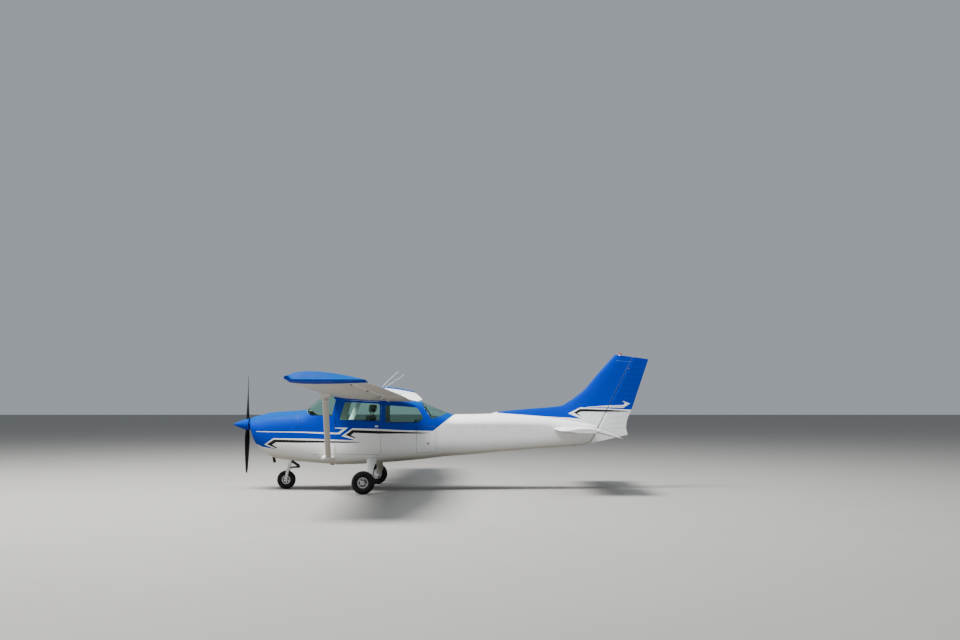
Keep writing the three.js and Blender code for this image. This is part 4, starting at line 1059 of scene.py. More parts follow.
def foil(along, thickness=FOIL_THICK):
    """Camber line and half thickness, over the chord, at one place along it. The nose droops."""
    powers = (factor * along ** (k + 1) for k, factor in enumerate(FOIL_POWERS))
    half = 5 * thickness * sum(powers, FOIL_ROOT * math.sqrt(along))
    fore = along < FOIL_CREST
    side, start = (FOIL_CREST, 0) if fore else (1 - FOIL_CREST, 1 - 2 * FOIL_CREST)
    nose = DROOP * max(0, 1 - along / DROOP_END) ** 2
    return FOIL_CAMBER * (start + 2 * FOIL_CREST * along - along**2) / side**2 - nose, half


def wing_ring(y, side, grow=0.0, height=1.0, lift=0.0, ahead=0.0, top=1.0):
    """Ring at half span y. Of its depth above the lower side, "top" is the share that is left."""
    ring = []
    for i in range(2 * FOIL_STEPS + 1):
        turn = math.pi * i / FOIL_STEPS
        along = (1 + math.cos(turn)) / 2
        line, half = foil(along)
        above = 1 if i <= FOIL_STEPS else -1
        share = max(top, 1 - (along / ROUND_NOSE) ** 2) if above > 0 else 0
        x, z = wing_point(y, along, (line - half + 2 * half * share) * height)
        ring.append((x + grow * math.cos(turn) - ahead, side * y, z + lift + above * grow))
    return ring


def wing_blank(side, grow=0.0):
    places = stations_between([WING_ROOT_Y - grow, WING_BREAK_Y, WING_END_Y], WING_STEP)
    return loft("wing", [wing_ring(y, side, grow) for y in places])


TAIL_HALF, NOSE_STEPS, SIDE_STEPS, BEAD_FADE = 2.5, 20, 6, 5


def surface_section(centre, radius, tail, bead, stretch=1.0):
    """Round nose about a centre, with straight sides to a thin tail. bead lifts the sides."""
    start, end = Vector(centre), Vector(tail)
    back = (end - start).normalized()
    up = Vector((-back.y, back.x))
    length = (end - start).length
    points = []
    for i in range(NOSE_STEPS + 1):
        angle = math.pi * i / NOSE_STEPS
        points.append(start - back * radius * stretch * math.sin(angle) + up * radius * math.cos(angle))
    shares = [(k + 1) / SIDE_STEPS for k in range(SIDE_STEPS)]
    for above, order in ((-1, shares), (1, shares[::-1])):
        for share in order:
            half = radius + (TAIL_HALF - radius) * share
            lift = bead * min(1, BEAD_FADE * (1 - share)) * min(1, BEAD_FADE * share)
            points.append(start + back * length * share + up * above * (half + lift))
    return [(p.x, p.y) for p in points]


# offset from a bead's middle and share of its height
BEAD = ((-16, 0), (-9, 0.55), (0, 1), (9, 0.55), (16, 0))
BEADS = {"wing": {"pitch": 118, "margin": 30, "height": 3.2},
         "elevator": {"pitch": 96, "margin": 26, "height": 2.6},
         "rudder": {"pitch": 104, "margin": 20, "height": 2.6}}


def beaded(start, end, pitch, margin, height):
    """Stations along a hinged surface, each with the lift of its beads."""
    count = max(1, round((end - start - 2 * margin) / pitch))
    step = (end - start - 2 * margin) / count
    rows = [(start, 0)]
    for k in range(count):
        middle = start + margin + (k + 0.5) * step
        rows += [(middle + offset, share * height) for offset, share in BEAD]
    return rows + [(end, 0)]


def wing_nose(y, nose):
    line, half = foil(nose)
    return wing_point(y, nose, line), half * wing_at(y)[0]


def wing_surface(name, side, surface):
    rings = []
    for y, lift in beaded(surface["y0"], surface["y1"], **BEADS["wing"]):
        centre, radius = wing_nose(y, surface["nose"])
        section = surface_section(centre, radius, wing_point(y, 1, 0), lift)
        rings.append([(x, side * y, z) for x, z in section])
    return loft(name, rings)


SURFACES = {"flap": FLAP, "aileron": AILERON}
HINGE_STATIONS = {"flap": (900, 2300), "aileron": (3000, 4800)}
EYE_HALF = 5


def hinge_slot(point, along, radius):
    way = Vector(along).normalized() * (EYE_HALF + SEAT_GAP)
    return rod("slot", tuple(Vector(point) - way), tuple(Vector(point) + way), radius)


def hinge_eye(point, along, root, eye, arm):
    """Flat eye across the hinge line on an arm from the fixed piece."""
    p, way = Vector(point), Vector(along).normalized()
    reach = Vector(root) - p
    reach -= way * reach.dot(way)
    fore, across = reach.normalized(), way.cross(reach.normalized())
    ends = []
    for share in (0, 1):
        middle = p + reach * share
        ends.append([tuple(middle + across * a * arm / 2 + way * b * EYE_HALF)
                     for a, b in ((-1, -1), (1, -1), (1, 1), (-1, 1))])
    disc = rod("eye", tuple(p - way * EYE_HALF), tuple(p + way * EYE_HALF), eye)
    return fuse(disc, loft("arm", ends))


def wing_hinges(side, kind, make):
    noses = []
    for y in HINGE_STATIONS[kind]:
        centre, radius = wing_nose(y, SURFACES[kind]["nose"])
        noses.append(((centre[0], side * y, centre[1]), radius))
    along = Vector(noses[-1][0]) - Vector(noses[0][0])
    return [make(point, radius, along) for point, radius in noses]


BAY_AFT_X = -300
LAP_RIBS, LAP_SHARES, LAP_END = (1010, 1780, 2540, 3420, 4330), (0.1, 0.34, 0.66), 0.78


def wing_bay(side):
    def front(surface, y):
        centre, radius = wing_nose(y, surface["nose"])
        return centre[0] - radius - MOVE_GAP, side * y

    inner, between, end = FLAP["y0"] - MOVE_GAP, (FLAP["y1"] + AILERON["y0"]) / 2, AILERON["y1"] + 10
    corners = [front(FLAP, y) for y in (inner, WING_BREAK_Y, between)]
    corners += [front(AILERON, y) for y in (between, end)]
    return plan_prism("bay", [(BAY_AFT_X, side * inner)] + corners + [(BAY_AFT_X, side * end)], 1500, 2300)


def wing_seams(side):
    """Skin laps: across the chord at some ribs, and along the span at the spar and behind the nose."""
    def line(y0, share0, y1, share1):
        a, b = (wing_point(y, share, 0)[0] for y, share in ((y0, share0), (y1, share1)))
        return ("seam", seam((a, side * y0), (b, side * y1)))

    lines = [line(y, 0.0, y, LAP_END) for y in LAP_RIBS]
    for share in LAP_SHARES:
        for y0, y1 in ((WING_ROOT_Y, WING_BREAK_Y), (WING_BREAK_Y, WING_END_Y)):
            lines.append(line(y0, share, y1, share))
    return lines


def whole(centres, _):
    return np.full(len(centres), SKIN)


# y beyond the wing's end, share of the thickness, lift, step ahead, and the share that is left of the depth
# above the lower side
TIP = [(SEAT_GAP, 1, 0, 0, 1), (60, 1.07, 14, 4, 1), (110, 1.13, 28, 8, 1), (150, 1.13, 30, 10, 0.84),
       (190, 1.12, 29, 12, 0.62), (230, 1.1, 27, 13, 0.38), (265, 1.08, 25, 14, 0.18)]

EYE_REACH, EYE_SIZE, ARM_SIZE, SLOT_ROOM = 15, 0.6, 0.7, 4
TIP_STEPS = 20


def add_wing_surface(label, side, kind):
    """A flap or aileron, slotted for its hinge eyes, which are returned."""
    eyes = wing_hinges(side, kind, lambda p, r, along: hinge_eye(
        p, along, (p[0] - r - MOVE_GAP - EYE_REACH, p[1], p[2]), r * EYE_SIZE, r * ARM_SIZE))
    moving = wing_surface(f"{kind}_skin_{label}", side, SURFACES[kind])
    cut(moving, *wing_hinges(side, kind, lambda p, r, along: hinge_slot(p, along, r + SLOT_ROOM)))
    node = f"{kind}_{label}"
    coat(moving, PAINT["white"], node, [node], 30)
    return eyes


def wing_cap(name, side):
    first, last = TIP[0][0], TIP[-1][0]
    places = [first + (last - first) * math.sin(0.5 * math.pi * k / TIP_STEPS)
              for k in range(TIP_STEPS + 1)]
    return loft(name, [wing_ring(WING_END_Y + out, side, 0, height, lift, ahead, min(top, 1))
                       for out, height, lift, ahead, top in smooth_rows(TIP, 0, places)])


def add_wings():
    for label, side in SIDES:
        wing = cut(wing_blank(side), wing_bay(side))
        wing.name = "wing_skin_" + label
        paint(wing, wing_seams(side), whole, axes=(0, 1))
        place(polish(wing, 30), "airframe", ["wing_" + label])
        brackets = add_wing_surface(label, side, "flap") + add_wing_surface(label, side, "aileron")
        mount("wing_hinges_" + label, brackets, "airframe", finish=STEEL)
        coat(wing_cap("wing_cap_" + label, side), PAINT["blue"], "airframe", ["wing_tip_" + label], 50)


# Tail

ELEVATOR_X, ELEVATOR_Z, ELEVATOR_TUBE, ELEVATOR_NOSE, ELEVATOR_INNER = 2906, 1165, 24, 37, 160
ELEVATOR_DROOP = math.radians(17.6)
ELEVATOR_HINGES = (-1000, 1000)
STAB_LEAD_X, STAB_Z, STAB_CHORD, STAB_THICK = 2215, 1168, 1161, 0.085
STAB_SIZE = Curve([0, 1600, 1640, 1690, 1725], [1, 1, 0.985, 0.9, 0.7])
STAB_TIP, STAB_STEP = [1600, 1625, 1650, 1670, 1690, 1705, 1716, 1725], 200


def stab_ring(y, grow=0.0):
    size = float(STAB_SIZE(abs(y)))
    end = ELEVATOR_X - ELEVATOR_NOSE - MOVE_GAP
    lead = ELEVATOR_X - (ELEVATOR_X - STAB_LEAD_X) * size
    ring = []
    for i in range(2 * FOIL_STEPS + 1):
        turn = math.pi * i / FOIL_STEPS
        share = (1 + math.cos(turn)) / 2
        half = foil(share * (end - STAB_LEAD_X) / STAB_CHORD, STAB_THICK)[1] * STAB_CHORD
        half = half * math.sqrt(size) + grow
        x = lead + (end - lead) * share + grow * math.cos(turn)
        ring.append((x, y, STAB_Z + (half if i <= FOIL_STEPS else -half)))
    return ring


def stabilizer(grow=0.0):
    middle = stations_between([-STAB_TIP[0], STAB_TIP[0]], STAB_STEP)[1:-1]
    places = [-y for y in STAB_TIP[::-1]] + middle + STAB_TIP
    return loft("stabilizer_skin", [stab_ring(y, grow) for y in places])


ELEVATOR_SIZE = {k: Curve([160, 1640, 1700, 1725], row) for k, row in
                 (("radius", [37, 34, 30, 22]), ("chord", [470, 470, 440, 360]))}

ELEVATOR_TIP = (1610, 1640, 1670, 1700, 1715, 1725)


def elevator_half(side):
    rows = beaded(ELEVATOR_INNER, ELEVATOR_TIP[0], **BEADS["elevator"]) + [(y, 0) for y in ELEVATOR_TIP[1:]]
    rings = []
    for y, lift in rows:
        radius, chord = float(ELEVATOR_SIZE["radius"](y)), float(ELEVATOR_SIZE["chord"](y))
        tail = (ELEVATOR_X + chord * math.cos(ELEVATOR_DROOP),
                ELEVATOR_Z - chord * math.sin(ELEVATOR_DROOP))
        section = surface_section((ELEVATOR_X, ELEVATOR_Z), radius, tail, lift)
        rings.append([(x, side * y, z) for x, z in section])
    return loft("elevator_half", rings)


RUDDER_X0, RUDDER_Z0, RUDDER_SLOPE = 2998, 930, 0.498
RUDDER_LEAN = math.hypot(1, RUDDER_SLOPE)
RUDDER_AXIS = (RUDDER_SLOPE, 0, 1)
RUDDER_HINGES = (1480, 2360)
# z, half thickness at the hinge, trailing edge x
RUDDER = [(860, 50, 3700), (1054, 50, 3672), (1191, 49, 3640), (1290, 48, 3650), (1592, 44, 3768),
          (2540, 32, 4098.5), (2640, 31, 4134)]
RUDDER_HALF, RUDDER_TAIL = curves_of(RUDDER)[0], curves_of(RUDDER, (1592, 2540))[1]
TAIL_TOP = [(2900, 2704), (4300, 2518), (4300, 3000), (2900, 3000)]
RUDDER_FOOT = [(2700, 838), (3800, 1086), (3800, 600), (2700, 600)]


def rudder_x(z):
    return RUDDER_X0 + RUDDER_SLOPE * (z - RUDDER_Z0)


RUDDER_PLAIN, RUDDER_BEADED = ((860, 960, 1054), (2470, 2560, 2640)), (1130, 2440)


def rudder_blank():
    below, above = ([(z, 0) for z in heights] for heights in RUDDER_PLAIN)
    rings = []
    for z, lift in below + beaded(*RUDDER_BEADED, **BEADS["rudder"]) + above:
        half, tail = float(RUDDER_HALF(z)), (float(RUDDER_TAIL(z)), 0)
        section = surface_section((rudder_x(z), 0), half, tail, lift, RUDDER_LEAN)
        rings.append([(x, y, z) for x, y in section])
    return loft("rudder_skin", rings)


# z, leading edge x, half thickness at the thickest and at the trailing edge
FIN = [(1180, 2010, 60, 50), (1500, 2330, 58, 46), (1704, 2522, 54, 43), (1931, 2808, 49, 40),
       (2243, 3080, 43, 36), (2626, 3428, 36, 31), (2660, 3460, 35, 31)]
FIN_CURVES = curves_of(FIN)
FIN_CREST, FIN_GAP, FIN_STEP, FIN_STEPS = 0.4, MOVE_GAP + 3, 60, 24
FIN_NOSE = Curve([math.sqrt(t) for t in (0, 0.02, 0.08, 0.2, FIN_CREST)], [0, 0.3, 0.6, 0.87, 1])


def fin_half(share, thick, end):
    if share < FIN_CREST:
        return thick * float(FIN_NOSE(math.sqrt(share)))
    t = (share - FIN_CREST) / (1 - FIN_CREST)
    return thick + (end - thick) * t * t * (3 - 2 * t)


def fin_blank():
    rings = []
    for z in stations_between([FIN[0][0], FIN[-1][0]], FIN_STEP):
        lead, thick, end = (float(curve(z)) for curve in FIN_CURVES)
        tail = rudder_x(z) - float(RUDDER_HALF(z)) * RUDDER_LEAN - FIN_GAP
        shares = [(k / FIN_STEPS) ** 2 for k in range(FIN_STEPS + 1)]
        side = [(lead + (tail - lead) * s, fin_half(s, thick, end)) for s in shares]
        rings.append([(x, y, z) for x, y in side] + [(x, -y, z) for x, y in side[:0:-1]])
    return loft("fin_skin", rings)


# x, ridge z, half width of the foot
DORSAL = [(1000, 1480, 40), (1121, 1507, 44), (1671, 1562, 52), (2351, 1622, 58), (2560, 1742, 56)]

DORSAL_STEPS, DORSAL_SUNK, DORSAL_TOP, DORSAL_POWERS = 12, 110, 3, (1.4, 0.8)


def dorsal():
    ridge_z, foot_y = curves_of(DORSAL)
    rings = []
    for x in stations_between([DORSAL[0][0], DORSAL[-1][0]], FIN_STEP):
        base, ridge, foot = float(hull_rows(x)[3]) - DORSAL_SUNK, float(ridge_z(x)), float(foot_y(x))
        right = []
        for k in range(DORSAL_STEPS + 1):
            turn = 0.5 * math.pi * k / DORSAL_STEPS
            right.append((DORSAL_TOP + (foot - DORSAL_TOP) * math.cos(turn) ** DORSAL_POWERS[0],
                          base + (ridge - base) * math.sin(turn) ** DORSAL_POWERS[1]))
        rings.append([(x, y, z) for y, z in right] + [(x, -y, z) for y, z in right[::-1]])
    return loft("dorsal", rings)


CLEAR_Z, PAST_TAIL = (1100, 1300), 200


def rear_clear():
    """Room for the elevator's tube and the rudder's nose behind the foot of the fin."""
    def back(z):
        return rudder_x(z) - RUDDER[0][1] * RUDDER_LEAN - MOVE_GAP

    low, high = CLEAR_Z
    corners = [(back(low), low), (back(high), high), (4000, high), (4000, low)]
    return side_prism("clear", corners, -PAST_TAIL, PAST_TAIL)


# from the elevator's axis: fore and aft, low and high; then how far out, beside its inner end
ARM_ROOM, ARM_ROOM_OUT, TUBE_ROOM_HALF = (-43, 140, -60, 48), (30, 300), 300
TUBE_ROOM, EYE_RADIUS, ARM_REACH = 25, 20, {"elevator": (60, 26), "rudder": (90, 34)}
SLOT_SIZE = {"elevator": 4, "rudder": 14}


def add_tailcone():
    cone = hull("tailcone_skin", CABIN_END_X + SEAT_GAP, HULL_X[-1])
    tube_hole = rod("tube_hole", (ELEVATOR_X, -TUBE_ROOM_HALF, ELEVATOR_Z),
                    (ELEVATOR_X, TUBE_ROOM_HALF, ELEVATOR_Z), TUBE_ROOM)
    fore, aft, low, high = ARM_ROOM
    rooms = [block("clear", ELEVATOR_X + fore, ELEVATOR_X + aft,
                   *side_range(side, ELEVATOR_INNER - ARM_ROOM_OUT[0], ARM_ROOM_OUT[1]),
                   ELEVATOR_Z + low, ELEVATOR_Z + high) for _, side in SIDES]
    cut(cone, stabilizer(SEAT_GAP), tube_hole, *rooms)
    dress_hull(cone, "airframe", "tailcone", STRIPES + TAIL_SEAMS)


def add_tail_hinges():
    reach, arm = ARM_REACH["elevator"]
    eyes = [hinge_eye((ELEVATOR_X, y, ELEVATOR_Z), (0, 1, 0), (ELEVATOR_X - reach, y, ELEVATOR_Z),
                      EYE_RADIUS, arm) for y in ELEVATOR_HINGES]
    reach, arm = ARM_REACH["rudder"]
    eyes += [hinge_eye((rudder_x(z), 0, z), RUDDER_AXIS, (rudder_x(z) - reach, 0, z),
                       float(RUDDER_HALF(z)) * EYE_SIZE, arm) for z in RUDDER_HINGES]
    mount("tail_hinges", eyes, "airframe", finish=STEEL)


def add_elevator():
    slots = [hinge_slot((ELEVATOR_X, y, ELEVATOR_Z), (0, 1, 0), ELEVATOR_NOSE + SLOT_SIZE["elevator"])
             for y in ELEVATOR_HINGES]
    end = ELEVATOR_INNER + 10
    tube = rod("tube", (ELEVATOR_X, -end, ELEVATOR_Z), (ELEVATOR_X, end, ELEVATOR_Z), ELEVATOR_TUBE)
    elevator = cut(fuse(elevator_half(-1), elevator_half(1), tube), *slots)
    elevator.name = "elevator_skin"
    coat(elevator, PAINT["white"], "elevator", ["elevator"], 30)


def tail_top():
    return side_prism("top", TAIL_TOP, -PAST_TAIL, PAST_TAIL)


def add_rudder():
    foot = side_prism("foot", RUDDER_FOOT, -PAST_TAIL, PAST_TAIL)
    slots = [hinge_slot((rudder_x(z), 0, z), RUDDER_AXIS, float(RUDDER_HALF(z)) + SLOT_SIZE["rudder"])
             for z in RUDDER_HINGES]
    rudder = cut(rudder_blank(), tail_top(), foot, *slots)
    paint(rudder, STRIPES, whole)
    place(polish(rudder, 30), "rudder", ["rudder"])


def add_fin():
    fin = fuse(fin_blank(), dorsal())
    cut(fin, tail_top(), hull("body", 200, HULL_X[-1], 3 * SEAT_GAP), rear_clear())
    paint(fin, STRIPES + FIN_SEAMS, whole)
    place(polish(fin, 34), "airframe", ["fin"])


def add_tail():
    add_tailcone()
    coat(stabilizer(), PAINT["white"], "airframe", ["horizontal_stabilizer"], 40)
    add_tail_hinges()
    add_elevator()
    add_rudder()
    add_fin()


# Struts and legs

STRUT_FOOT, STRUT_HEAD = (-2152, 470, 606), (-1905, 2560, 1810)
# share of the way up, chord, thickness
STRUT = [(0, 270, 110), (0.025, 240, 90), (0.045, 108, 50), (0.93, 108, 50), (0.965, 160, 62), (1, 210, 90)]
# x, y, z, chord, thickness
LEG = [(-1312, 380, 630, 200, 90), (-1312, 560, 580, 180, 60), (-1304, 760, 508, 150, 44),
       (-1302, 960, 405, 130, 36), (-1330, 1105, 290, 125, 36), (-1372, 1140, 236, 120, 36)]
LEG_END_Y = 1150
BAR_SIDES = 40


def oval_bar(name, stations, side, tail=0.0):
    """Flat bar through [x, y, z, chord, thickness] stations. Its sections point aft by the share tail."""
    centres = [Vector((x, side * y, z)) for x, y, z, _, _ in stations]
    rings = []
    for i, (_, _, _, chord, thick) in enumerate(stations):
        along = (centres[min(i + 1, len(centres) - 1)] - centres[max(i - 1, 0)]).normalized()
        fore = (Vector((1, 0, 0)) - along * along.x).normalized()
        across = along.cross(fore)
        ring = []
        for k in range(BAR_SIDES):
            angle = 2 * math.pi * k / BAR_SIDES
            half = thick / 2 * math.sin(angle) * (1 - tail * math.cos(angle))
            ring.append(tuple(centres[i] + fore * chord / 2 * math.cos(angle) + across * half))
        rings.append(ring)
    return loft(name, rings)


def smooth_rows(rows, key, places):
    """Rows of a table at other places, on smooth curves."""
    keys = [row[key] for row in rows]
    curves = [Curve(keys, [row[k] for row in rows]) for k in range(len(rows[0]))]
    return [[float(curve(p)) for curve in curves] for p in places]


STRUT_STEPS = [0, 0.0125, 0.025, 0.03, 0.035, 0.04, 0.045, 0.06, *np.linspace(0.1, 0.9, 9),
               0.93, 0.94, 0.95, 0.965, 0.98, 1]
LEG_STEPS, LEG_PAD = 26, {"radius": 54, "inner_y": 1125}


def add_strut(label, side):
    stations = [[a + (b - a) * share for a, b in zip(STRUT_FOOT, STRUT_HEAD)] + [chord, thick]
                for share, chord, thick in smooth_rows(STRUT, 0, STRUT_STEPS)]
    bar = oval_bar("strut_" + label, stations, side, 0.3)
    cut(bar, hull("body", -2500, -1800, SEAT_GAP), wing_blank(side, SEAT_GAP))
    coat(bar, PAINT["white"], "airframe", ["wing_strut_" + label], 40)


def add_leg(label, side):
    places = list(np.linspace(LEG[0][1], LEG[-1][1], LEG_STEPS))
    leg = oval_bar("leg_" + label, smooth_rows(LEG, 1, places), side)
    ends = [(MAIN["x"], side * y, MAIN["radius"]) for y in (LEG_PAD["inner_y"], LEG_END_Y)]
    fuse(leg, round_rod("pad", *ends, LEG_PAD["radius"], 48))
    beyond = block("beyond", -1600, -1200, *side_range(side, LEG_END_Y, 1300), 0, 600)
    cut(leg, hull("body", -1800, -850, SEAT_GAP), beyond)
    coat(leg, PAINT["white"], "airframe", ["main_leg_" + label], 40)


def add_struts_and_legs():
    for label, side in SIDES:
        add_strut(label, side)
        add_leg(label, side)


# Wheels, with the axle along Y

MAIN = {"x": -1390, "y": 1250, "radius": 212, "half": 80, "rim": 98, "axle": 18}
NOSE = {"x": -3040, "radius": 180, "half": 63, "rim": 85, "axle": 12}
WHEEL_SIDES = 96
# share of the tyre's depth and of its half width
TYRE_SIDE = [(0, 0.62), (0.03, 0.66), (0.12, 0.76), (0.25, 0.9), (0.42, 0.985), (0.55, 1), (0.7, 0.95),
             (0.84, 0.82), (0.93, 0.64), (0.975, 0.5), (1, 0.34), (1, 0.3)]
GROOVES, GROOVE_HALF, GROOVE_DEPTH = (-0.44, -0.15, 0.15, 0.44), 0.045, 5
TREAD_EDGE, TREAD_STEP = 0.66, 0.03
TREAD_CROWN = Curve([0, 0.34, 0.5, 0.64, 0.75], [1, 1, 0.975, 0.93, 0.885])
# radius over the axle's, or over the rim's, and share of the half width
HUB_INNER = ((1.9, 0.72), (2.1, 0.66), (2.3, 0.3), (2.5, 0.24))
HUB_OUTER = ((0.72, 0.24), (0.8, 0.32), (0.86, 0.6), (0.9, 0.64), (1, 0.64))
HUB_HOLES, HUB_HOLE_SIZE, WEB = 6, 0.13, (2.45, 0.8)


def lathe_y(name, x, y, z, profile):
    """Closed ring body: the profile has (radius, place along Y) rows."""
    rings = []
    for k in range(WHEEL_SIDES):
        angle = 2 * math.pi * k / WHEEL_SIDES
        rings.append([(x + r * math.cos(angle), y + w, z + r * math.sin(angle)) for r, w in profile])
    return loft(name, rings, closed=True)


def tyre_profile(size):
    depth, half = size["radius"] - size["rim"], size["half"]
    wide = curves_of(TYRE_SIDE[:-1])[0]
    side = [(size["rim"] + depth * t, half * float(wide(t))) for t in [k / 22 for k in range(19)]]
    tread, w = [], TREAD_EDGE
    while w > -TREAD_EDGE - 0.001:
        in_groove = min(abs(w - g) for g in GROOVES) <= GROOVE_HALF
        sunk = GROOVE_DEPTH / depth if in_groove else 0
        tread.append((size["rim"] + depth * (float(TREAD_CROWN(abs(w))) - sunk), half * w))
        w -= TREAD_STEP
    return side + tread + [(r, -y) for r, y in side[::-1]]


def hub_of(name, size, y):
    half, axle, edge = size["half"], size["axle"], size["rim"] - SEAT_GAP
    right = [(axle + 1, half * HUB_INNER[0][1])]
    right += [(axle * r, half * w) for r, w in HUB_INNER] + [(edge * r, half * w) for r, w in HUB_OUTER]
    hub = lathe_y(name, size["x"], y, size["radius"], right + [(r, -w) for r, w in right[::-1]])
    middle = (axle * 2.4 + edge * 0.76) / 2
    holes = []
    for k in range(HUB_HOLES):
        angle = 2 * math.pi * (k + 0.5) / HUB_HOLES
        x, z = size["x"] + middle * math.cos(angle), size["radius"] + middle * math.sin(angle)
        holes.append(rod("hole", (x, y - half, z), (x, y + half, z), edge * HUB_HOLE_SIZE, 24))
    return cut(hub, *holes)


def shade_web(hub, size):
    """Darkens the flat web between the boss and the rim."""
    hub.data.materials.append(WHEEL_SHADE)
    low, high = size["axle"] * WEB[0], (size["rim"] - SEAT_GAP) * WEB[1]
    for face in hub.data.polygons:
        out = math.hypot(face.center[0] / MM - size["x"], face.center[2] / MM - size["radius"])
        if low < out < high:
            face.material_index = 1


def add_wheel(name, body, size, y):
    tyre = lathe_y("tyre_" + name, size["x"], y, size["radius"], tyre_profile(size))
    place(shade(finish_with(tyre, RUBBER), 40), body, [name + "_tyre"])
    hub = finish_with(hub_of("hub_" + name, size, y), WHEEL_PAINT)
    shade_web(hub, size)
    place(polish(hub, 34), body, [name + "_hub"])


def add_wheels():
    add_wheel("nose_wheel", "nose_wheel", NOSE, 0)
    for label, side in SIDES:
        add_wheel("main_wheel_" + label, "main_wheel_" + label, MAIN, side * MAIN["y"])


# along Y, start and end, radius and sides; then the bolts' places beside the axle
AXLE_RODS = (("flange", None, 1166, 55, 48), ("axle", None, 1322, 18, 32), ("nut", 1312, 1326, 24, 6))
CALIPER = {"x": (30, 106), "y": 1174, "z": (182, 267)}
CALIPER_BOLTS = ((45, 38), (92, 38), (45, -14), (92, -14))


def add_axles():
    for label, side in SIDES:
        start = LEG_END_Y + SEAT_GAP

        def at(y, dx=0.0, dz=0.0):
            return (MAIN["x"] + dx, side * y, MAIN["radius"] + dz)

        parts = [round_rod(name, at(low or start), at(high), radius, sides)
                 for name, low, high, radius, sides in AXLE_RODS]
        caliper = block("caliper", *(MAIN["x"] + dx for dx in CALIPER["x"]),
                        *side_range(side, start, CALIPER["y"]), *CALIPER["z"])
        parts.append(bevel(caliper, 6))
        parts += [round_rod("bolt", at(1148, dx, dz), at(1178, dx, dz), 7, 6) for dx, dz in CALIPER_BOLTS]
        mount("axle_" + label, parts, "airframe", ["main_axle_" + label], STEEL)


# Nose gear

# place along the strut and radius
BARREL = [(0, 30), (3, 36), (22, 36), (26, 34), (190, 34), (196, 40), (214, 40), (220, 34), (400, 34),
          (413, 30)]
BARREL_Z, BRACKET_Z, BRACKET_HALF, PISTON = (447, 850), (650, 815), (34, 22), (396, 446.6, 24)
CROWN = [(-3032, 380), (-2950, 380), (-2940, 412), (-3024, 412)]
FORK_LEG = [(-3064, 160), (-3016, 160), (-2972, 412), (-3026, 412)]
FORK_IN, FORK_OUT, AXLE_END = 74, 90, 104
LINKS = ([(-2962, 556), (-2922, 556), (-2784, 470), (-2784, 440), (-2822, 436), (-2930, 506), (-2962, 506)],
         [(-2962, 406), (-2962, 434), (-2830, 444), (-2800, 460), (-2778, 440), (-2782, 408)])
LINK_Y, LINK_LUG, LINK_PIN_HALF = (8, 20), (-2932, -2898, -26, 26, 500, 542), 26
LINK_PINS = ((-2944, 530), (-2804, 447), (-2946, 424))


def add_oleo():
    barrel = turned("barrel", steer_point(BARREL_Z[0]), steer_point(BARREL_Z[1]), BARREL)
    wide, high = BRACKET_HALF
    brackets = [bevel(block("bracket", steer_point(z)[0], FIREWALL_X - SEAT_GAP, -wide, wide,
                            z - high, z + high), 5) for z in BRACKET_Z]
    oleo = coat(fuse(barrel, *brackets), PAINT["white"], "airframe", ["nose_oleo"])
    oleo.name = "oleo_barrel"


def add_fork():
    crown = bevel(side_prism("crown", CROWN, -FORK_OUT, FORK_OUT, 0, 8), 6)
    legs = [bevel(side_prism("leg", FORK_LEG, *side_range(side, FORK_IN, FORK_OUT), 0, 20), 4)
            for _, side in SIDES]
    fork = fuse(crown, *legs)
    fork.name = "fork"
    coat(fork, WHEEL_PAINT, "nose_steer", ["nose_fork"])


def add_nose_axle():
    def bar(name, y0, y1, radius, sides):
        return round_rod(name, *((NOSE["x"], y, NOSE["radius"]) for y in (y0, y1)), radius, sides)

    nut = AXLE_END - 2
    axle = [bar("axle", -AXLE_END, AXLE_END, NOSE["axle"], 32), bar("nut", -nut, -FORK_OUT, 20, 6),
            bar("nut", FORK_OUT, nut, 20, 6)]
    mount("nose_axle", axle, "nose_steer", finish=STEEL)


def add_scissor_links():
    links = [bevel(side_prism("link", outline, *side_range(side, *LINK_Y), 0, 6), 2)
             for outline in LINKS for _, side in SIDES]
    links.append(bevel(block("link_lug", *LINK_LUG), 4))
    links += [round_rod("pin", (x, -LINK_PIN_HALF, z), (x, LINK_PIN_HALF, z), 9) for x, z in LINK_PINS]
    mount("scissor_links", links, "nose_steer", ["torque_link"], PAINT["black"])


def add_nose_gear():
    add_oleo()
    add_fork()
    add_nose_axle()
    low, high, radius = PISTON
    piston = rod("piston", steer_point(low), steer_point(high), radius, 48)
    place(shade(finish_with(piston, CHROME)), "nose_steer")
    add_scissor_links()


# place along the pipe and radius: out along the outside, and back inside its open end
STACK = [(0, 27), (391, 27), (393, 26), (394, 24), (391, 22), (330, 22)]


def add_exhaust():
    pipe = turned("stack", EXHAUST_TOP, EXHAUST_LOW, STACK)
    cut(pipe, block("above", -3400, -3200, -200, -100, ENGINE_LOW_Z - SEAT_GAP, 1000))
    coat(pipe, EXHAUST, "airframe", ["exhaust_pipe"])


# Lines and soft shapes

def sweep(name, points, radius, sides=20):
    """Round bar along a line of points, with one radius or one for each point."""
    path = [Vector(p) for p in points]
    last = len(path) - 1
    ways = [(path[min(i + 1, last)] - path[max(i - 1, 0)]).normalized() for i in range(last + 1)]
    sizes = radius if isinstance(radius, (list, tuple)) else [radius] * len(path)
    across = ways[0].orthogonal().normalized()
    rings = []
    for i, (point, way) in enumerate(zip(path, ways)):
        if i:
            across = ways[i - 1].rotation_difference(way) @ across
        other = way.cross(across)
        angles = [2 * math.pi * k / sides for k in range(sides)]
        rings.append([tuple(point + (across * math.cos(a) + other * math.sin(a)) * sizes[i])
                      for a in angles])
    return loft(name, rings)


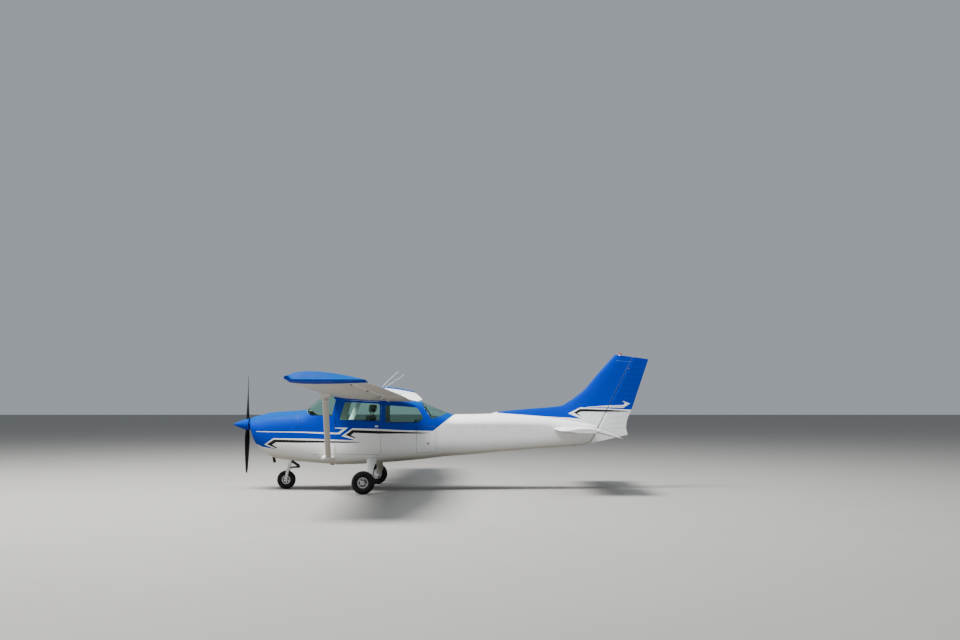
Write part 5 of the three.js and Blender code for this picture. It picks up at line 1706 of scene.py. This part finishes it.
def smooth_line(points, steps=8):
    """More points on a smooth line through the given ones."""
    path = [Vector(p) for p in points]
    path = [path[0] * 2 - path[1]] + path + [path[-1] * 2 - path[-2]]
    line = []
    for a, b, c, d in zip(path, path[1:], path[2:], path[3:]):
        for k in range(steps):
            t = k / steps
            line.append(0.5 * (2 * b + (c - a) * t + (2 * a - 5 * b + 4 * c - d) * t**2
                               + (3 * b - a - 3 * c + d) * t**3))
    return [tuple(p) for p in line + [path[-2]]]


PRESSURE, BLOW_FRAMES = 4, 20


def blow_up(piece, voxel, cap):
    """Blows the piece up as cloth from inside, moves no point by more than cap, and smooths it."""
    remesh = piece.modifiers.new("remesh", "REMESH")
    remesh.mode, remesh.voxel_size = "VOXEL", voxel * MM
    settle(piece)
    start = coordinates(piece.data)
    cloth_cover = piece.modifiers.new("cloth", "CLOTH")
    cover = cloth_cover.settings
    cover.use_pressure, cover.uniform_pressure_force = True, PRESSURE
    cover.effector_weights.gravity = 0
    cloth_cover.point_cache.frame_start, cloth_cover.point_cache.frame_end = 1, BLOW_FRAMES
    for step in range(1, BLOW_FRAMES + 1):
        bpy.context.scene.frame_set(step)
    settle(piece)
    move = coordinates(piece.data) - start
    length = np.maximum(np.linalg.norm(move, axis=1), 1e-9)[:, None]
    piece.data.vertices.foreach_set("co", (start + move * np.minimum(1, cap * MM / length)).ravel())
    smooth = piece.modifiers.new("smooth", "SUBSURF")
    smooth.levels = 1
    settle(piece)
    bpy.context.scene.frame_set(1)


CHANNEL_WIDTH = 11


def sew(piece, channels):
    """Sinks sewn channels into the side that faces up. Each is (axis, place, depth)."""
    places = coordinates(piece.data)
    normals = np.empty(places.size)
    piece.data.vertices.foreach_get("normal", normals)
    normals = normals.reshape(-1, 3)
    upward = np.clip(normals[:, 2:3] * 2, 0, 1)
    for axis, at, depth in channels:
        off = (places[:, axis:axis + 1] / MM - at) / CHANNEL_WIDTH
        places = places - normals * upward * depth * MM * np.exp(-off**2)
    piece.data.vertices.foreach_set("co", places.ravel())


def stuffed(name, size, voxel, cap, channels=()):
    """Cushion about its own middle, in its covering."""
    x, y, z = (s / 2 for s in size)
    piece = bevel(block(name, -x, x, -y, y, -z, z), min(size) * 0.24, 4)
    blow_up(piece, voxel, cap)
    sew(piece, channels)
    return shade(finish_with(piece, SEAT_CLOTH), 60)


def set_down(piece, name, place_at, fore, nodes=(), fill=0.7):
    """Copy of a cushion, moved to its place. Its own x then runs along fore, in side view."""
    x_axis = Vector((fore[0], 0, fore[1])).normalized()
    z_axis = x_axis.cross(Vector((0, 1, 0)))
    turn = Matrix((x_axis, (0, 1, 0), z_axis)).transposed().to_4x4()
    copy = bpy.data.objects.new(name, piece.data.copy())
    copy.data.transform(Matrix.Translation(Vector(place_at) * MM) @ turn)
    bpy.context.scene.collection.objects.link(copy)
    place(copy, "airframe", nodes)


# Cabin fittings

PANEL_X, PANEL_LOW, PANEL_HIGH = -2250, 1090, 1430
SEAT_X, SEAT_Y, SEAT_Z = -1740, 240, FLOOR_Z + SEAT_GAP
BACK_FOOT, BACK_LENGTH, BACK_WAY = (250, 250), 597, (0.201, 0.98)

# size, voxel, how far a point may move, and channels as (axis, place, depth)
FRONT_CUSHION = ((496, 400, 112), 9, 26, [(1, -95, 6), (1, 95, 6), (0, 90, 6)])
FRONT_BACK = ((572, 392, 78), 9, 24, [(1, -95, 6), (1, 95, 6), (0, -40, 6)])
HEADREST = ((150, 232, 66), 7, 14)
BENCH_CUSHION = ((444, 838, 118), 11, 26, [(1, 0, 9), (1, -210, 5), (1, 210, 5)])
BENCH_BACK = ((470, 838, 78), 11, 22, [(1, 0, 9), (1, -210, 5), (1, 210, 5)])
# where each is set down, and the way its own x axis runs in side view
BENCH_PLACES = (((-775, 0, 858), (1, -0.03)), ((-495, 0, 1143), (100, 485)))
BENCH_BASE = (-965, -562, -395, 395, SEAT_Z, 781)
CUSHION_AT, CUSHION_WAY, REST_ABOVE, REST_AHEAD = (8, 230), (1, -0.05), 96, 6
# along x, half width and heights, from the seat's foot
SEAT_PAN, SEAT_RAIL = (-236, 250, 196, 142, 156), (-250, 290, 11, 0, 22)
# from the seat's middle: sideways, and the legs' feet and heads along x
RAIL_Y, SEAT_LEGS, LEG_Z, SEAT_LEG_RADIUS = (-150, 150), ((-200, -180), (210, 190)), (18, 146), 11
POST_IN, POST_ENDS, POST_RADIUS = 0.4, (-40, 60), 6
PIVOT_Y, PIVOT_HALF, PIVOT_AT, PIVOT_RADIUS = (-206, 206), 9, (252, 240), 26


def up_back(y, length, ahead=0):
    """Place up the back of a front seat from its foot."""
    return (SEAT_X + (BACK_FOOT[0] + BACK_WAY[0] * length - ahead), y,
            SEAT_Z + (BACK_FOOT[1] + BACK_WAY[1] * length))


def seat_frame(y):
    def at(dx, dy, dz):
        return SEAT_X + dx, y + dy, SEAT_Z + dz

    def slab(name, dy, fore, aft, half, low, high):
        return block(name, SEAT_X + fore, SEAT_X + aft, y + dy - half, y + dy + half,
                     SEAT_Z + low, SEAT_Z + high)

    parts = [bevel(slab("pan", 0, *SEAT_PAN), 4)]
    for dy in RAIL_Y:
        parts.append(bevel(slab("rail", dy, *SEAT_RAIL), 3))
        parts += [rod("leg", at(foot, dy, LEG_Z[0]), at(head, dy, LEG_Z[1]), SEAT_LEG_RADIUS)
                  for foot, head in SEAT_LEGS]
        post = [up_back(y + dy * POST_IN, BACK_LENGTH + end) for end in POST_ENDS]
        parts.append(rod("post", *post, POST_RADIUS))
    dx, dz = PIVOT_AT
    for dy in PIVOT_Y:
        parts.append(round_rod("pivot", at(dx, dy - PIVOT_HALF, dz), at(dx, dy + PIVOT_HALF, dz),
                               PIVOT_RADIUS))
    return parts


def add_front_seats():
    cushion, back = stuffed("cushion", *FRONT_CUSHION), stuffed("back", *FRONT_BACK)
    rest = stuffed("rest", *HEADREST)
    for label, side in SIDES:
        y = side * SEAT_Y
        set_down(cushion, "cushion_" + label, (SEAT_X + CUSHION_AT[0], y, SEAT_Z + CUSHION_AT[1]),
                 CUSHION_WAY, ["seat_front_" + label])
        set_down(back, "backrest_" + label, up_back(y, BACK_LENGTH / 2), BACK_WAY)
        rest_at = up_back(y, BACK_LENGTH + REST_ABOVE, REST_AHEAD)
        set_down(rest, "headrest_" + label, rest_at, BACK_WAY, fill=0.8)
        mount("seat_frame_" + label, seat_frame(y), "airframe", finish=STEEL)
    for piece in (cushion, back, rest):
        bpy.data.objects.remove(piece)


def add_bench():
    cushion, back = stuffed("cushion", *BENCH_CUSHION), stuffed("back", *BENCH_BACK)
    set_down(cushion, "bench_cushion", *BENCH_PLACES[0], ["rear_bench"])
    set_down(back, "bench_back", *BENCH_PLACES[1])
    for piece in (cushion, back):
        bpy.data.objects.remove(piece)
    coat(bevel(block("bench_base", *BENCH_BASE), 14), PAINT["lining"], "airframe")


DIAL_TICKS, TICK, HAND = 12, (0.64, 0.78, 1.6), (-0.12, 0.62, 2.6)


def dial(y, z, radius, angle):
    """Round gauge on the panel: bezel, face, ticks and a hand."""
    x = PANEL_X
    rim = [(0, radius), (7, radius), (9, radius - 2.5), (9, radius - 6), (5, radius - 7)]
    parts = [finish_with(turned("bezel", (x - 1, y, z), (x + 8, y, z), rim, 40), DARK_PLASTIC)]
    marks = [(2 * math.pi * k / DIAL_TICKS, TICK) for k in range(DIAL_TICKS)] + [(angle, HAND)]
    for turn, (inner, outer, wide) in marks:
        way = (math.cos(turn), math.sin(turn))
        off = (-math.sin(turn) * wide / 2, math.cos(turn) * wide / 2)
        ring = [(y + way[0] * (radius * out) + off[0] * over, z + way[1] * (radius * out) + off[1] * over)
                for out, over in ((inner, 1), (inner, -1), (outer, -1), (outer, 1))]
        mark = loft("mark", [[(at, a, b) for a, b in ring] for at in (x + 3.5, x + 4.9)])
        parts.append(finish_with(mark, PAINT["white"]))
    return parts


# y, z, radius, angle of the hand in degrees
DIALS = [(-332, 1350, 38, 200), (-246, 1350, 38, 90), (-160, 1350, 38, 60), (-332, 1258, 38, 150),
         (-246, 1258, 38, 90), (-160, 1258, 38, 180), (-405, 1300, 24, 120), (-405, 1240, 24, 60),
         (150, 1352, 30, 140), (222, 1352, 30, 100), (150, 1280, 24, 80), (206, 1280, 24, 130),
         (262, 1280, 24, 45), (-246, 1168, 30, 75)]
# y0, y1, z0, z1
RADIOS = [(-72, 72, 1352, 1392), (-72, 72, 1304, 1346), (-72, 72, 1262, 1298), (-72, 72, 1226, 1256),
          (310, 450, 1150, 1290)]
BOARD_THICK, BOARD_HALF, SHELF = 40, 600, (-2620, 30, 1404)
PULLS, PULL_Z = ((-30, PAINT["black"]), (5, PAINT["black"]), (40, RED_LENS)), 1140


def panel_rod(name, dx, y, z, radius, sides, make=round_rod):
    """Rod that stands out of the panel from dx[0] to dx[1] behind its face."""
    return make(name, (PANEL_X + dx[0], y, z), (PANEL_X + dx[1], y, z), radius, sides)


def radio(y0, y1, z0, z1):
    unit = bevel(block("unit", PANEL_X - 1, PANEL_X + 7, y0, y1, z0, z1), 3)
    knobs = [panel_rod("knob", (5, 19), y, (z0 + z1) / 2, 7, 20) for y in (y0 + 12, y1 - 12)]
    return [finish_with(unit, DARK_PLASTIC)] + [finish_with(knob, ALLOY) for knob in knobs]


def add_panel():
    room = hull("room", FIREWALL_X, CABIN_END_X - 80, -WALL - SEAT_GAP)
    face = block("panel_board", PANEL_X - BOARD_THICK, PANEL_X, -BOARD_HALF, BOARD_HALF,
                 PANEL_LOW, PANEL_HIGH)
    fore, lip, low = SHELF
    shelf = bevel(block("shelf", fore, PANEL_X + lip, -BOARD_HALF, BOARD_HALF, low, PANEL_HIGH), 8)
    panel = keep_inside(fuse(face, shelf), room)
    coat(panel, DARK_PLASTIC, "airframe", ["instrument_panel"])
    parts = [part for row in DIALS for part in dial(*row[:3], math.radians(row[3]))]
    parts += [part for row in RADIOS for part in radio(*row)]
    for y, finish in PULLS:
        parts.append(finish_with(panel_rod("pull", (-1, 60), y, PULL_Z, 4, 16, rod), STEEL))
        parts.append(finish_with(panel_rod("pull_knob", (55, 82), y, PULL_Z, 14, 24), finish))
    mount("panel_gauges", parts, "airframe")


YOKE_Z = 1190
# across and up from the shaft
YOKE_GRIP = ((-122, 112), (-128, 60), (-112, 6), (-60, -14), (0, -16), (60, -14), (112, 6), (128, 60),
             (122, 112))


def add_yokes():
    for label, side in SIDES:
        y, z = side * SEAT_Y, YOKE_Z
        shaft = panel_rod("shaft", (SEAT_GAP, 150), y, z, 14, 32)
        flange = panel_rod("flange", (SEAT_GAP, 14), y, z, 30, 32)
        hub = bevel(block("hub", PANEL_X + 136, PANEL_X + 172, y - 46, y + 46, z - 30, z + 30), 10)
        wheel = sweep("yoke_wheel", smooth_line([(PANEL_X + 152, y + a, z + b) for a, b in YOKE_GRIP]), 13)
        parts = [finish_with(shaft, STEEL)]
        parts += [finish_with(part, DARK_PLASTIC) for part in (flange, hub, wheel)]
        mount("control_wheel_" + label, parts, "airframe", ["yoke_" + label])


# Engine

# x, y and z ranges and the bevel of each block
CASES = ((-3486, -2960, -116, 116, 940, 1262, 26), (-3300, -2980, -96, 96, ENGINE_LOW_Z, 950, 14))
GEARCASE = (-2962, FIREWALL_X - SEAT_GAP, -150, 150, 960, 1250, 18)
# along the shaft, from and to, radius and sides
SHAFT_RODS = ((-3500, HUB_BACK_X + SEAT_GAP, 45, 32), (-3590, -3574, 130, 64))
CYLINDER_Z, CYLINDER_Y = 1085, (104, 348)
CYLINDERS = ((-3370, -1), (-3150, -1), (-3330, 1), (-3110, 1))
FINS, FIN_PITCH, FIN_WIDE, BARREL_RADIUS, FIN_RADIUS = 11, 13, 5, 66, 92
# from a cylinder's middle: along x, out from the middle plane and height
ROD_TUBE, RISER = ((-30, 110, 1190), (-30, 330, 1150)), ((20, 290, 1020), (24, 280, 950), (30, 200, 930))


def cylinder(x, side):
    rows = [(0, 62), (30, 62)]
    for k in range(FINS):
        at = 36 + FIN_PITCH * k
        end = at + FIN_WIDE
        rows += [(at, BARREL_RADIUS), (at, FIN_RADIUS), (end, FIN_RADIUS), (end, BARREL_RADIUS)]
    rows += [(184, 80), (238, 80), (244, 72)]
    return turned("barrel", *((x, side * y, CYLINDER_Z) for y in CYLINDER_Y), rows, 40)


def add_engine():
    parts = [bevel(block("case", *spans), edge) for *spans, edge in CASES]
    parts += [cylinder(x, side) for x, side in CYLINDERS]
    parts.append(bevel(block("gearcase", *GEARCASE[:6]), GEARCASE[6]))
    parts += [round_rod("shaft", (fore, 0, SHAFT_Z), (aft, 0, SHAFT_Z), radius, sides)
              for fore, aft, radius, sides in SHAFT_RODS]
    for x, side in CYLINDERS:
        tube, riser = ([(x + dx, side * y, z) for dx, y, z in line] for line in (ROD_TUBE, RISER))
        parts += [sweep("rod_tube", tube, 11), sweep("riser", smooth_line(riser), 22)]
    mount("engine_block", parts, "airframe", ["engine"], CAST)


# Whips, beacon, hinges and small fittings

def skin_y(x, z):
    """Half width of the hull's skin at a place in side view."""
    at = x
    for _ in range(LEAN_STEPS):
        lean, bottom, belt, top, half, taper, low, high = (float(v) for v in hull_rows(at))
        at = x - lean * (top - z)
    power = high if z >= belt else low
    reach = top - belt if z >= belt else belt - bottom
    narrow = 1 - taper * max(0, z - belt) / (top - belt)
    return (half * narrow) * max(0, 1 - (abs(z - belt) / reach) ** power) ** (1 / power)


# from the foot: aft, up and radius of the mast, and knees of the whip
MAST = ((-6, -30, 20), (6, 2, 17), (22, 20, 11), (40, 34, 7))
# tips in side view, and how far the knees stand off the straight line
WHIP_TIPS, WHIP_KNEES = ((-846, 2296), (-746, 2246)), (Vector((24, 0, 22)), Vector((-8, 0, 10)))
ANTENNA_X, ANTENNA_Y, WHIP_STEPS, WHIP_ROOT, WHIP_THIN = -1240, 180, 12, 4.6, 2.2


def add_antennas():
    for (label, side), (tip_x, tip_z) in zip(SIDES, WHIP_TIPS):
        y = side * ANTENNA_Y
        x, z = ANTENNA_X, float(hull_rows(ANTENNA_X)[3])
        foot, tip = Vector((x, y, z)), Vector((tip_x, y, tip_z))
        base = sweep("mast", [(x + dx, y, z + dz) for dx, dz, _ in MAST], [row[2] for row in MAST])
        knees = [foot + WHIP_KNEES[0], foot.lerp(tip, 0.5) + WHIP_KNEES[1], tip]
        sizes = [WHIP_ROOT - WHIP_THIN * k / (2 * WHIP_STEPS) for k in range(2 * WHIP_STEPS + 1)]
        whip = sweep("whip", smooth_line(knees, WHIP_STEPS), sizes, 12)
        aerial = finish_with(gather("whip_aerial_" + label, [base, whip]), PAINT["white"])
        cut(aerial, hull("body", -1500, -1000, SEAT_GAP))
        place(shade(aerial), "airframe", ["antenna_" + label])


BEACON_X, BEACON_Z = 3540, 2619

BEACON_BASE, BEACON_LAMP = [(0, 40), (14, 40), (18, 37), (19, 30)], [(0, 9), (30, 9), (38, 5), (40, 1)]
DOME_RADIUS, DOME_FOOT, DOME_HEIGHT, DOME_STEPS = 33, 14, 30, 10


def beacon_part(name, low, high, profile):
    return turned(name, (BEACON_X, 0, BEACON_Z + low), (BEACON_X, 0, BEACON_Z + high), profile)


def add_beacon():
    base = beacon_part("base", -8, 12, BEACON_BASE)
    lamp = beacon_part("lamp", 0, 40, BEACON_LAMP)
    turns = [0.5 * math.pi * k / DOME_STEPS for k in range(DOME_STEPS + 1)]
    rows = [(0, DOME_RADIUS)]
    rows += [(DOME_FOOT + DOME_HEIGHT * math.sin(t), DOME_RADIUS * max(0.02, math.cos(t))) for t in turns]
    dome = beacon_part("dome", 2, 46, rows)
    place(shade(finish_with(dome, RED_LENS)), "airframe", ["beacon"])
    dome.name = "beacon_dome"
    mount("beacon_base", [finish_with(base, ALLOY), finish_with(lamp, PAINT["white"])], "airframe")


# body, side, x, y, reach, heights
HINGES = [("door_left", -1, -2029, 546, 28, (800, 1290)), ("door_right", 1, -2029, 546, 28, (800, 1290)),
          ("baggage_door", -1, -462, 520, 30, (830, 1160))]
KNUCKLE = {"radius": 6, "height": 24, "leaf": 7}
WHITE_BELOW_Z = 1100


def knuckle(x, y, side, reach, low, moving):
    """One half of a hinge: the fixed half below, or the moving half on top of it."""
    colour = PAINT["white" if low < WHITE_BELOW_Z else "blue"]
    z0 = low + moving * (KNUCKLE["height"] + SEAT_GAP)
    z1, wide = z0 + KNUCKLE["height"], KNUCKLE["leaf"] + MOVE_GAP
    pin = round_rod("pin", (x, side * y, z0), (x, side * y, z1), KNUCKLE["radius"], 24)
    x0, x1 = (x, x + wide) if moving else (x - wide, x)
    leaf = bevel(block("leaf", x0, x1, *side_range(side, y - reach, y), z0, z1), 3)
    return [finish_with(part, colour) for part in (pin, leaf)]


def add_hinges():
    for body, side, x, y, reach, heights in HINGES:
        for rider, moving in (("airframe", 0), (body, 1)):
            parts = [part for low in heights for part in knuckle(x, y, side, reach, low, moving)]
            mount(f"hinge_{body}_{moving}", parts, rider)


LATCH, HANDLE = (-237, 901), (-1222, 1232)
# fore, aft, inner and outer face from the skin, half height, bevel
PAN, LEVER, LATCH_BAR = (-34, 30, -6, 3, 20, 2.4), (-26, 22, 6, 15, 13, 5), (-6, 6, 2, 9, 26, 2)
# aft of the middle, inner and outer end from the skin, height, radius
STEM, LOCK, LATCH_STUD = (10, -2, 12, 0, 8), (10, -2, 4, -62, 8), (0, -3, 5, 0, 15)


def plate(name, middle, side, row):
    """Bevelled plate on the skin beside a place in side view."""
    (x, z), y = middle, skin_y(*middle)
    fore, aft, inner, outer, half, edge = row
    return bevel(block(name, x + fore, x + aft, *side_range(side, y + inner, y + outer),
                       z - half, z + half), edge)


def stud(name, middle, side, row):
    (x, z), y = middle, skin_y(*middle)
    aft, inner, outer, up, radius = row
    return round_rod(name, (x + aft, side * (y + inner), z + up), (x + aft, side * (y + outer), z + up),
                     radius)


def add_handles():
    for label, side in SIDES:
        parts = [plate("pan", HANDLE, side, PAN), plate("lever", HANDLE, side, LEVER),
                 stud("stem", HANDLE, side, STEM), stud("lock", HANDLE, side, LOCK)]
        mount("door_handle_" + label, parts, "door_" + label, finish=ALLOY)
    latch = [stud("latch", LATCH, -1, LATCH_STUD), plate("latch_bar", LATCH, -1, LATCH_BAR)]
    mount("baggage_latch", latch, "baggage_door", finish=DARK_PLASTIC)


# x, y, low and high z, half length, half width, radius of the eye
STRUT_LUG, TAIL_LUG = (-1910, 2470, 1686, 1745, 25, 15, 11), (2590, 0, 798, 870, 30, 15, 13)


def lug(name, side, row):
    """Lug with an eye for a rope, along the x axis."""
    x, y, low, high, half_x, half_y, hole = row
    y, eye_z = side * y, low + hole * 1.7
    body = bevel(block(name, x - half_x, x + half_x, y - half_y, y + half_y, low, high), 6)
    return cut(body, rod("eye", (x, y - 40, eye_z), (x, y + 40, eye_z), hole, 28))


def add_lugs():
    parts = [lug("strut_lug", side, STRUT_LUG) for _, side in SIDES] + [lug("tail_lug", 1, TAIL_LUG)]
    mount("tie_down_lugs", parts, "airframe", finish=STEEL)


# distance ahead of the foot and radius
LENS, LENS_FOOT = [(0, 18), (20, 18), (32, 14), (39, 8), (42, 1)], [(0, 21), (14, 21), (18, 20)]
TIP_LIGHT = {"out": 215, "along": 0.004, "up": 26}


def add_tip_lights():
    y = WING_END_Y + TIP_LIGHT["out"]
    x, z = wing_point(y, TIP_LIGHT["along"], 0.0)
    z += TIP_LIGHT["up"]

    def lamp(name, side, back, front, profile, finish):
        part = turned(name, (x + back, side * y, z), (x + front, side * y, z), profile, 32)
        return place(shade(finish_with(part, finish)), "airframe")

    for label, side in SIDES:
        lamp("tip_light_" + label, side, 16, -26, LENS, RED_LENS if side < 0 else GREEN_LENS)
        lamp("tip_light_base_" + label, side, 30, 10, LENS_FOOT, PAINT["blue"])


CAP_AT, DRAINS, DRAIN_SHARE = (1500, 0.3), (760, 2050), 0.5
# heights from the skin and radius, and the bar on the cap: half length, half width, heights
CAP, CAP_BAR, DRAIN = (-8, 7, 44), (30, 6, 5, 12), (-12, 6, 9)
# aft reach of a hinge cover by surface, and its stations
COVERS = (("flap", 24, (640, 1500, 2480)), ("aileron", 2, (2760, 3900, 5080)))


def wing_skin_at(y, share, above):
    line, half = foil(share)
    return wing_point(y, share, line + above * half)


def fuel_cap(side):
    y, (x, z) = side * CAP_AT[0], wing_skin_at(*CAP_AT, 1)
    low, high, radius = CAP
    cap = round_rod("cap", (x, y, z + low), (x, y, z + high), radius, 48)
    half_x, half_y, low, high = CAP_BAR
    bar = block("cap_bar", x - half_x, x + half_x, y - half_y, y + half_y, z + low, z + high)
    return [finish_with(part, ALLOY) for part in (cap, bevel(bar, 3))]


def drain(side, y):
    x, z = wing_skin_at(y, DRAIN_SHARE, -1)
    low, high, radius = DRAIN
    stub = round_rod("drain", (x, side * y, z + low), (x, side * y, z + high), radius, 20)
    return finish_with(stub, ALLOY)


def hinge_cover(side, y, kind, reach):
    x, z = wing_point(y, SURFACES[kind]["nose"] - 0.012, -0.028)
    cover = block("cover", x - 36, x + reach, side * y - 6, side * y + 6, z - 13, z + 14)
    return finish_with(bevel(cover, 4), HINGE_GREY)


def add_wing_fittings():
    """Fuel caps on top, drains below, and hinge covers along the surfaces."""
    for label, side in SIDES:
        parts = fuel_cap(side) + [drain(side, y) for y in DRAINS]
        parts += [hinge_cover(side, y, kind, reach) for kind, reach, stations in COVERS for y in stations]
        mount("wing_fittings_" + label, parts, "airframe")


BELLY_MAST, BELLY_VENT = (-2178, -2098, -22, 22, 468, 506), (-2070, -1925, -50, 50, 478, 500)


def add_belly_fittings():
    """Drain mast and a flat vent under the floor."""
    parts = [bevel(block("mast", *BELLY_MAST), 8), bevel(block("vent", *BELLY_VENT), 6)]
    mount("belly_fittings", parts, "airframe", finish=DARK_PLASTIC)


VENT = [(-2690, 1318), (-2645, 1316), (-2645, 1290), (-2690, 1292)]
LOUVRE = [(-2484, 702), (-2337, 692), (-2337, 676), (-2484, 686)]
CABIN_SEAMS = [("deep", seam((-2752, 1140), (-2752, 1530))), ("faint", seam((-46, 640), (-46, 1110))),
               ("deep", VENT), ("faint", LOUVRE)]
TAIL_SEAMS = [("faint", seam((2478, 1290), (2478, 1400)))]
FIN_SEAMS = [("cap", seam((3455, 2520), (3974, 2459)))]

add_camera()
add_studio()
add_cowling()
add_propeller()
add_cabin()
add_panes()
add_wings()
add_tail()
add_struts_and_legs()
add_wheels()
add_axles()
add_nose_gear()
add_exhaust()
dress_hull(hull("firewall_plate", FIREWALL_X, FIREWALL_X + FIREWALL_THICK, -1.5), "airframe", "firewall")
add_front_seats()
add_bench()
add_panel()
add_yokes()
add_engine()
add_antennas()
add_beacon()
add_hinges()
add_handles()
add_lugs()
add_tip_lights()
add_wing_fittings()
add_belly_fittings()

FLOOR_HALF = 200000


def floor():
    corners = [(x * FLOOR_HALF, y * FLOOR_HALF, 0) for x, y in ((-1, -1), (1, -1), (1, 1), (-1, 1))]
    plane = piece_of("floor", corners, [(0, 1, 2, 3)])
    finish = Finish("floor", (0.30, 0.293, 0.278), 0.8)
    finish.mottle(finish.noise(0.6, 5), (0.28, 0.272, 0.256), 0.5)
    plane.data.materials.append(finish.material)


floor()
bpy.context.view_layer.update()
